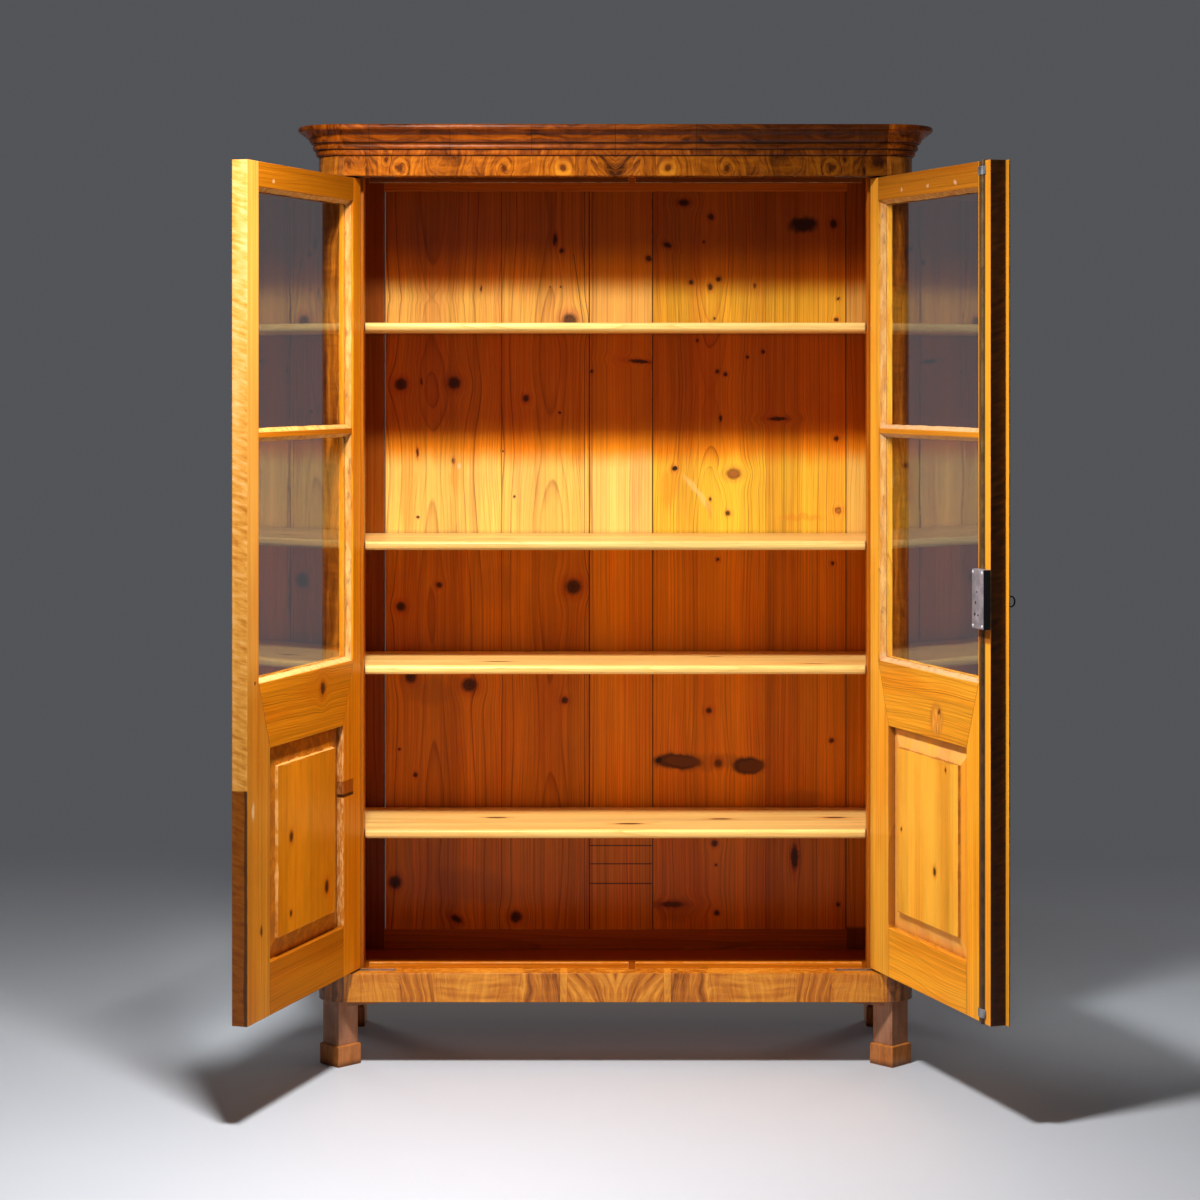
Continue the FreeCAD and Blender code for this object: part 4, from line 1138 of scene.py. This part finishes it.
doorFace = Look(side="doorFront", swirl=1.0, lightness=0.48, ripple=0.25)
doorWork = {
    "hinge_stile": Look(
        pith=(-0.12, 0.03, 0.004), ring=0.0034, veneer=Look(doorFace, side="hingeEdge"),
        extra=stileRubAndShade,
    ),
    "meeting_stile": Look(
        pith=(0.68, 0.05, 0.004), ring=0.0034, tone=1.02, veneer=doorFace, extra=rippledEdge,
    ),
    "top_rail": Look(
        order="zyx", pith=(1.6, 0.06, 0.012), ring=0.0042, veneer=doorFace, extra=peggedRail,
    ),
    "lock_rail": Look(
        order="zyx", pith=(1.1, 0.06, 0.03), ring=0.0066, sway=0.01, contrast=1.6, veneer=doorFace,
        extra=spikeKnot,
    ),
    "bottom_rail": Look(
        order="zyx", pith=(0.05, 0.08, 0.03), ring=0.0058, sway=0.01, veneer=doorFace, extra=footRail,
    ),
    "panel": Look(
        pith=(0.95, 0.1, 0.002), ring=0.013, sway=0.004, contrast=0.2, streaks=0.42, mottle=0.3,
        veneer=Look(doorFace, side="panelFront", swirl=1.6), extra=wornField, wear=0.15,
    ),
    "glazing_bar": Look(
        order="zyx", pith=(1.4, 0.06, 0.002), ring=0.0024, tone=0.85, red=0.3, veneer=doorFace,
    ),
}
# painted light and shade per piece: the top rails and the left door's rails and panel darker, as less
# lit; the left meeting stile, the right hinge stile and the right panel paler, as lit; the right panel
# also with less mottle
doorToneAndPaintedLight = {
    "left_top_rail": Look(tone=0.54, red=0.2), "left_bottom_rail": Look(tone=0.73, red=0.1),
    "left_lock_rail": Look(tone=0.87), "left_panel": Look(tone=0.88),
    "left_meeting_stile": Look(shades=Look(early=(0.64, 0.29, 0.045), late=(0.36, 0.11, 0.009))),
    "right_top_rail": Look(tone=0.62, red=0.64), "right_lock_rail": Look(tone=0.9),
    "right_hinge_stile": Look(pale=0.35), "right_panel": Look(pale=0.5, mottle=0.16),
}
for hand, seed in (("left", 80.0), ("right", 95.0)):
    for piece, values in doorWork.items():
        seed += 1.7
        look = {"shades": doorShadesLitAndShaded[hand], "wear": 0.22, **values, "door": hand, "seed": seed}
        look.update(doorToneAndPaintedLight.get(hand + "_" + piece, {}))
        look["veneer"] = Look(values.veneer, seed=seed * 0.7)
        if piece == "lock_rail" and hand == "left":
            look["knots"] = "leftLockRailKnots"
        if piece == "panel":
            look["knots"] = hand + "DoorPanelKnots"
        dress(hand + "_" + piece, pineMaterial(hand + "Door_" + piece, **look))
dress("astragal", pineMaterial(
    "astragalStrip", door="right", pith=(0.7, 0.05, 0.002), ring=0.002, seed=111.0,
    shades=doorShadesLitAndShaded.right, veneer=Look(doorFace, side="coverStrip", seed=77.0, lightness=0.25),
))
print("doors dressed")

# ironwork, one entry a piece: its colours, how rusty and how bare the metal is
socketIron = Look(dark=(0.1, 0.095, 0.09), bright=(0.3, 0.29, 0.28), rust=0.4, metallic=0.8)
ironWork = {
    "lock_case": Look(
        dark=(0.2, 0.195, 0.22), bright=(0.33, 0.325, 0.37), rust=0.16, metallic=0.35, shadySide=0.5335,
    ),
    "key": Look(dark=(0.02, 0.019, 0.019), bright=(0.06, 0.056, 0.054), rust=0.3, metallic=0.8),
    "upper_rod": Look(dark=(0.075, 0.036, 0.008), bright=(0.17, 0.095, 0.026), rust=0.3, metallic=0.25),
    "lower_rod": Look(dark=(0.038, 0.016, 0.004), bright=(0.09, 0.04, 0.012), rust=0.3, metallic=0.25),
    "rod_guides": Look(dark=(0.12, 0.125, 0.13), bright=(0.34, 0.36, 0.39), rust=0.2, metallic=0.6),
    "pivot_plates": Look(dark=(0.14, 0.13, 0.125), bright=(0.36, 0.345, 0.33), rust=0.5, metallic=0.8),
    "left_pivot_sockets": socketIron, "right_pivot_sockets": socketIron,
}


def ironMaterial(name, values):
    made, shader, coords = newMaterial(name)
    worn = useGroup("edgeWear", coords=coords, reach=0.0012)
    dark, bright = shade(values.dark), shade(values.bright)
    skin = useGroup("ironSkin", coords=coords, dark=dark, bright=bright, rust=values.rust, edge=worn.edge)
    color = skin.color
    if values.shadySide:
        # painted shade: the side of the lock towards the free edge, turned from the lamp, painted black
        across = split(closedPlace(coords, "right"))[0]
        color = blend(across > values.shadySide, color, (0.007, 0.007, 0.008))
    fill(shader, {"Base Color": color, "Roughness": skin.rough, "Metallic": values.metallic})
    roughen(shader, skin.height, 0.3, 0.0004, worn.normal)
    return made


for name, values in ironWork.items():
    dress(name, ironMaterial("iron_" + name, values))

# old window glass: faint waves, lamps shine through
paneLook = Look(tint=(0.93, 0.95, 0.95), wave=0.12, waveDepth=0.0012)


def glassMaterial(values):
    made, shader, coords = newMaterial("oldGlass")
    tint = values.tint
    haze = noise(coords, (16, 16, 11), 3.0)
    dirt = spread(noise(coords, 34, 4.0, 0.7), 0.45, 0.8, 0.0, 0.05)
    fill(shader, {"Base Color": blend(haze, tint, tuple(c * 0.97 for c in tint)), "Roughness": dirt})
    fill(shader, {"Transmission Weight": 1.0, "IOR": 1.5})
    roughen(shader, noise(coords, (9, 9, 6)), values.wave, values.waveDepth)
    clear = node("BsdfTransparent", shade(tint))
    mixOut(made, node("LightPath").outputs["Is Shadow Ray"], shader, clear)
    return made


oldGlass = glassMaterial(paneLook)
dress("left_panes", oldGlass)
dress("right_panes", oldGlass)
print("ironwork and glass dressed")


# putty run along the rebates round each pane, pressed by hand
putty = Look(
    width=0.0078, rise=0.0098, wobble=0.0007, step=0.022, seed=5, glassFace=0.00135,
    walls=(0.0345, 0.48425), panes=((0.826, 1.286), (1.296, 1.756)),
)


def puttyMaterial(name, look):
    made, shader, coords = newMaterial(name)
    cloud = noise(coords, (75, 75, 16), 4.0, 0.65)
    fine = noise(coords, 420, 3.0, 0.6)
    tone = blend(spread(cloud, 0.35, 0.68), look.color, look.pale)
    height = split(coords)[2]
    for level in look.whiteAt:
        near = lineMask(height, level, 0.02, 0.011)
        tone = blend(near * spread(cloud, 0.3, 0.5, 0.3, 0.95), tone, look.white)
    stain = spread(noise(coords, (120, 120, 40), 3.0), 0.55, 0.72)
    tone = blend(stain * 0.6, tone, (0.2, 0.085, 0.03))
    fill(shader, {"Base Color": vScale(tone, swing(fine, 0.2, 1.0)), "Roughness": swing(fine, 0.1, 0.62)})
    roughen(shader, cloud + fine * 0.3, 0.4, 0.0006)
    return made


def bridge(mesh, rings, closed=False):
    # skins a row of rings; a closed row ends where it starts
    for first, after in zip(rings, rings[1:] + rings[:1] if closed else rings[1:]):
        for k in range(len(first)):
            n = (k + 1) % len(first)
            mesh.faces.new((first[k], first[n], after[n], after[k]))


def puttyRun(mesh, side, low, high, values, draw):
    left, right = values.walls
    corners = [(left, low), (right, low), (right, high), (left, high)]
    inward = [(1, 1), (-1, 1), (-1, -1), (1, -1)]
    stations = []
    for i in range(4):
        a, b = corners[i], corners[(i + 1) % 4]
        run = (b[0] - a[0], b[1] - a[1])
        length = math.hypot(*run)
        normal = (-run[1] / length, run[0] / length)
        count = max(3, int(length / values.step))
        for k in range(count):
            t = k / count
            way = inward[i] if k == 0 else normal
            stations.append(((a[0] + run[0] * t, a[1] + run[1] * t), way))
    rows = []
    for (u, z), way in stations:
        width = values.width + draw.uniform(-1, 1) * values.wobble
        rise = values.rise + draw.uniform(-1.4, 1) * values.wobble
        face = values.glassFace
        section = [
            (-0.0003, face), (width, face), (width * 0.62, face + rise * 0.30),
            (width * 0.25, face + rise * 0.72), (-0.0003, face + rise),
        ]
        places = [doorPoint(side, u + way[0] * w, v, z + way[1] * w) for w, v in section]
        rows.append([mesh.verts.new(place) for place in places])
    bridge(mesh, rows, closed=True)


def newPiece(name, mesh, material):
    data = bpy.data.meshes.new(name)
    mesh.to_mesh(data)
    mesh.free()
    data.materials.append(material)
    piece = bpy.data.objects.new(name, data)
    scene.collection.objects.link(piece)
    return piece


def meshPiece(name, mesh, body, material):
    bmesh.ops.recalc_face_normals(mesh, faces=mesh.faces)
    piece = newPiece(name, mesh, material)
    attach(piece, body)
    return piece


puttyLooks = Look(
    left=Look(
        color=(0.58, 0.21, 0.02), pale=(0.78, 0.42, 0.11), white=(0.8, 0.45, 0.14), whiteAt=(0.826,),
    ),
    right=Look(
        color=(0.6, 0.23, 0.03), pale=(0.78, 0.42, 0.12), white=(0.64, 0.36, 0.16),
        whiteAt=(0.826, 1.291),
    ),
)
for side, look in puttyLooks.items():
    draw = random.Random(putty.seed)
    mesh = bmesh.new()
    for low, high in putty.panes:
        puttyRun(mesh, side, low, high, putty, draw)
    meshPiece(side + "_putty", mesh, side + "_door", puttyMaterial(side + "Putty", look))

# screws with slotted heads in the pivot plates and the sockets
screw = Look(radius=0.0036, slot=0.0009, rise=0.0005, depth=0.0008, sides=20)


def slottedHead(mesh, centre, way, slotTurn, values):
    # two half rounds with a slot between them, standing a little proud
    up, across = Vector((0, 0, way)), Vector((math.cos(slotTurn), math.sin(slotTurn), 0))
    side = up.cross(across)
    radius, half, steps = values.radius, values.slot / 2, values.sides // 2
    limit = math.asin(half / radius)
    levels = ((1.0, -values.depth), (1.0, values.rise * 0.4), (0.82, values.rise))
    for turn in (1, -1):
        angles = [limit + (math.pi - 2 * limit) * k / steps for k in range(steps + 1)]
        rings = []
        for share, height in levels:
            ring = []
            for angle in angles:
                b = half * turn + (math.sin(angle) * radius - half) * turn * share
                place = centre + across * math.cos(angle) * radius * share + side * b + up * height
                ring.append(mesh.verts.new(place))
            rings.append(ring)
        bridge(mesh, rings)
        mesh.faces.new(rings[-1])
        mesh.faces.new(list(reversed(rings[0])))


def circle(steps):
    return [2 * math.pi * k / steps for k in range(steps)]


def domedRivet(mesh, centre, up, radius, rise, sides):
    across = up.orthogonal().normalized()
    side = up.cross(across)
    levels = ((1.0, -rise * 0.4), (1.0, rise * 0.15), (0.86, rise * 0.55), (0.55, rise * 0.88))
    ways = [across * math.cos(angle) + side * math.sin(angle) for angle in circle(sides)]
    rings = []
    for share, height in levels:
        rings.append([mesh.verts.new(centre + out * radius * share + up * height) for out in ways])
    bridge(mesh, rings)
    top = mesh.verts.new(centre + up * rise)
    for i in range(sides):
        mesh.faces.new((rings[-1][i], rings[-1][(i + 1) % sides], top))
    mesh.faces.new(list(reversed(rings[0])))


screwIron = ironMaterial("iron_screws", Look(
    dark=(0.12, 0.11, 0.1), bright=(0.34, 0.33, 0.31), rust=0.35, metallic=0.85,
))
rivetIron = ironMaterial("iron_rivets", Look(
    dark=(0.6, 0.6, 0.63), bright=(0.8, 0.8, 0.84), rust=0.05, metallic=0.2,
))
pinIron = ironMaterial("iron_pins", ironWork["key"])
draw = random.Random(11)
mesh = bmesh.new()
for hand in (-1, 1):
    for x in (0.5006, 0.4547):
        for z, way in ((0.192, 1), (1.807, -1)):
            slottedHead(mesh, Vector((hand * x, pivotDepth, z)), way, draw.uniform(0, math.pi), screw)
meshPiece("pivot_screws", mesh, "carcass", screwIron)
for side in ("left", "right"):
    mesh = bmesh.new()
    for z, way in ((0.196, -1), (1.803, 1)):
        slottedHead(mesh, doorPoint(side, 0.022, 0.0, z), way, draw.uniform(0, math.pi), screw)
    meshPiece(side + "_socket_screws", mesh, side + "_door", screwIron)

# rivets and pins on the lock's cover, nails in the rod guides: places as (across, height, radius)
studs = {
    "lock_rivets": Look(
        iron=rivetIron, deep=0.0305, rise=0.0016, sides=14,
        places=[
            (0.4915, 0.9365, 0.0032), (0.4915, 1.0365, 0.0032), (0.529, 0.9365, 0.0032),
            (0.529, 1.0365, 0.0032),
        ],
    ),
    "lock_pins": Look(
        iron=pinIron, deep=0.0305, rise=0.0008, sides=14,
        places=[(0.507, 1.0, 0.0019), (0.4985, 0.958, 0.0034), (0.512, 0.957, 0.0022)],
    ),
    "guide_nails": Look(
        iron=screwIron, deep=0.0175, rise=0.0007, sides=10,
        places=[
            (0.48975, 0.214, 0.0014), (0.51275, 0.214, 0.0014), (0.48975, 1.785, 0.0014),
            (0.51275, 1.785, 0.0014),
        ],
    ),
}
inward = doorPoint("right", 0, 1, 0) - doorPoint("right", 0, 0, 0)
for name, stud in studs.items():
    mesh = bmesh.new()
    for u, z, radius in stud.places:
        domedRivet(mesh, doorPoint("right", u, stud.deep, z), inward, radius, stud.rise, stud.sides)
    meshPiece(name, mesh, "right_door", stud.iron)

# the key stands so far out that its ring shows beyond the cover strip
keyShape = Look(
    across=0.50125, height=0.9795, radius=0.0035, inner=0.0305, tip=-0.0366, sides=20,
    bow=(-0.044, 0.0071, 0.0096, 0.0016, 0.0018), bit=(0.0015, 0.017, 0.024, 0.011),
)


def makeKey(values):
    mesh = bmesh.new()
    u, z, inner, tip = values.across, values.height, values.inner, values.tip

    def corner(across, deep, rise):
        return mesh.verts.new(doorPoint("right", u + across, deep, z + rise))

    # shank: (depth, share of the radius)
    profile = [
        (inner + 0.0006, 0.7), (inner, 1.0), (-0.0155, 1.0), (-0.0168, 1.25), (-0.0182, 1.0),
        (tip + 0.006, 0.9), (tip + 0.003, 1.15), (tip, 0.8),
    ]
    rings = []
    for deep, share in profile:
        reach = values.radius * share
        ring = [(math.cos(a) * reach, math.sin(a) * reach) for a in circle(values.sides)]
        rings.append([corner(across, deep, rise) for across, rise in ring])
    bridge(mesh, rings)
    mesh.faces.new(rings[0])
    mesh.faces.new(rings[-1])
    # oval ring, upright in the plane through the shank
    centre, half, tall, rim, thick = values.bow
    loops = []
    for a in circle(32):
        loop = []
        for b in circle(8):
            deep = centre + math.cos(a) * (half + math.cos(b) * rim)
            loop.append(corner(math.sin(b) * thick, deep, math.sin(a) * (tall + math.cos(b) * rim)))
        loops.append(loop)
    bridge(mesh, loops, closed=True)
    # bit inside the lock
    half, near, far, drop = values.bit
    corners = [corner(a * half, b, c) for a in (-1, 1) for b in (near, far) for c in (-drop, 0)]
    for face in ((0, 1, 3, 2), (4, 6, 7, 5), (0, 4, 5, 1), (2, 3, 7, 6), (0, 2, 6, 4), (1, 5, 7, 3)):
        mesh.faces.new([corners[i] for i in face])
    return mesh


longKey = meshPiece(
    "key_with_ring", makeKey(keyShape), "key", ironMaterial("iron_longKey", ironWork["key"]),
)
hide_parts("key")
print("putty, screws, rivets and key in place")

# studio: pale floor that runs out into an even grey, a soft lamp above the front, a weak front fill,
# and two lamps behind that light the sides and the back
studio = Look(
    floor=(0.55, 0.565, 0.6), beyond=(0.088, 0.09, 0.097), fadeFrom=2.1, fadeTo=4.4, middle=(0, -1.2, 0),
    fill=0.015,
)
rearLamp = Look(size=1.4, spread=100, power=10.0, sheen=False)
lamps = Look(
    keyLamp=Look(place=(-0.38, -1.12, 2.46), aim=(-0.34, -1.05, 0.0), size=0.3, spread=146, power=66.0),
    frontLamp=Look(place=(-1.6, -4.6, 2.6), aim=(0.0, 0.0, 0.9), size=2.6, spread=180, power=5.0),
    rearLampLeft=Look(rearLamp, place=(-2.5, 3.2, 1.15), aim=(-0.3, 0.3, 1.1)),
    rearLampRight=Look(rearLamp, place=(2.5, 3.2, 1.15), aim=(0.3, 0.3, 1.1)),
)


def buildStudio(values):
    made, shader, coords = newMaterial("paleFloor")
    color = blend(noise(coords, 3, 3.0), values.floor, tuple(c * 0.97 for c in values.floor))
    fill(shader, {"Base Color": color, "Roughness": 0.55, "Specular IOR Level": 0.3})
    away = vLength(vSub(coords, values.middle))
    glow = node("Emission", shade(values.beyond))
    mixOut(made, spread(away, values.fadeFrom, values.fadeTo), shader, glow)
    mesh = bmesh.new()
    bmesh.ops.create_circle(mesh, cap_ends=True, segments=96, radius=40.0)
    newPiece("studioFloor", mesh, made)
    scene.world = bpy.data.worlds.new("studioWorld")
    scene.world.use_nodes = True
    bench["tree"] = scene.world.node_tree
    path = node("LightPath").outputs
    seen = most(path["Is Camera Ray"], most(path["Is Glossy Ray"], path["Is Transmission Ray"]))
    color = blend(seen, (values.fill,) * 3, values.beyond)
    fill(bench.tree.nodes["Background"], Look(Color=color))


def softLamp(name, values):
    lamp = bpy.data.lights.new(name, "AREA")
    lamp.shape = "DISK"
    lamp.size = values.size
    lamp.spread = math.radians(values.spread)
    lamp.energy = values.power
    holder = bpy.data.objects.new(name, lamp)
    holder.location = values.place
    way = Vector(values.aim) - Vector(values.place)
    holder.rotation_euler = way.to_track_quat("-Z", "Y").to_euler()
    holder.visible_camera = False
    holder.visible_transmission = False
    holder.visible_glossy = values.get("sheen", True)
    scene.collection.objects.link(holder)


buildStudio(studio)
for name, values in lamps.items():
    softLamp(name, values)
print("studio lit")
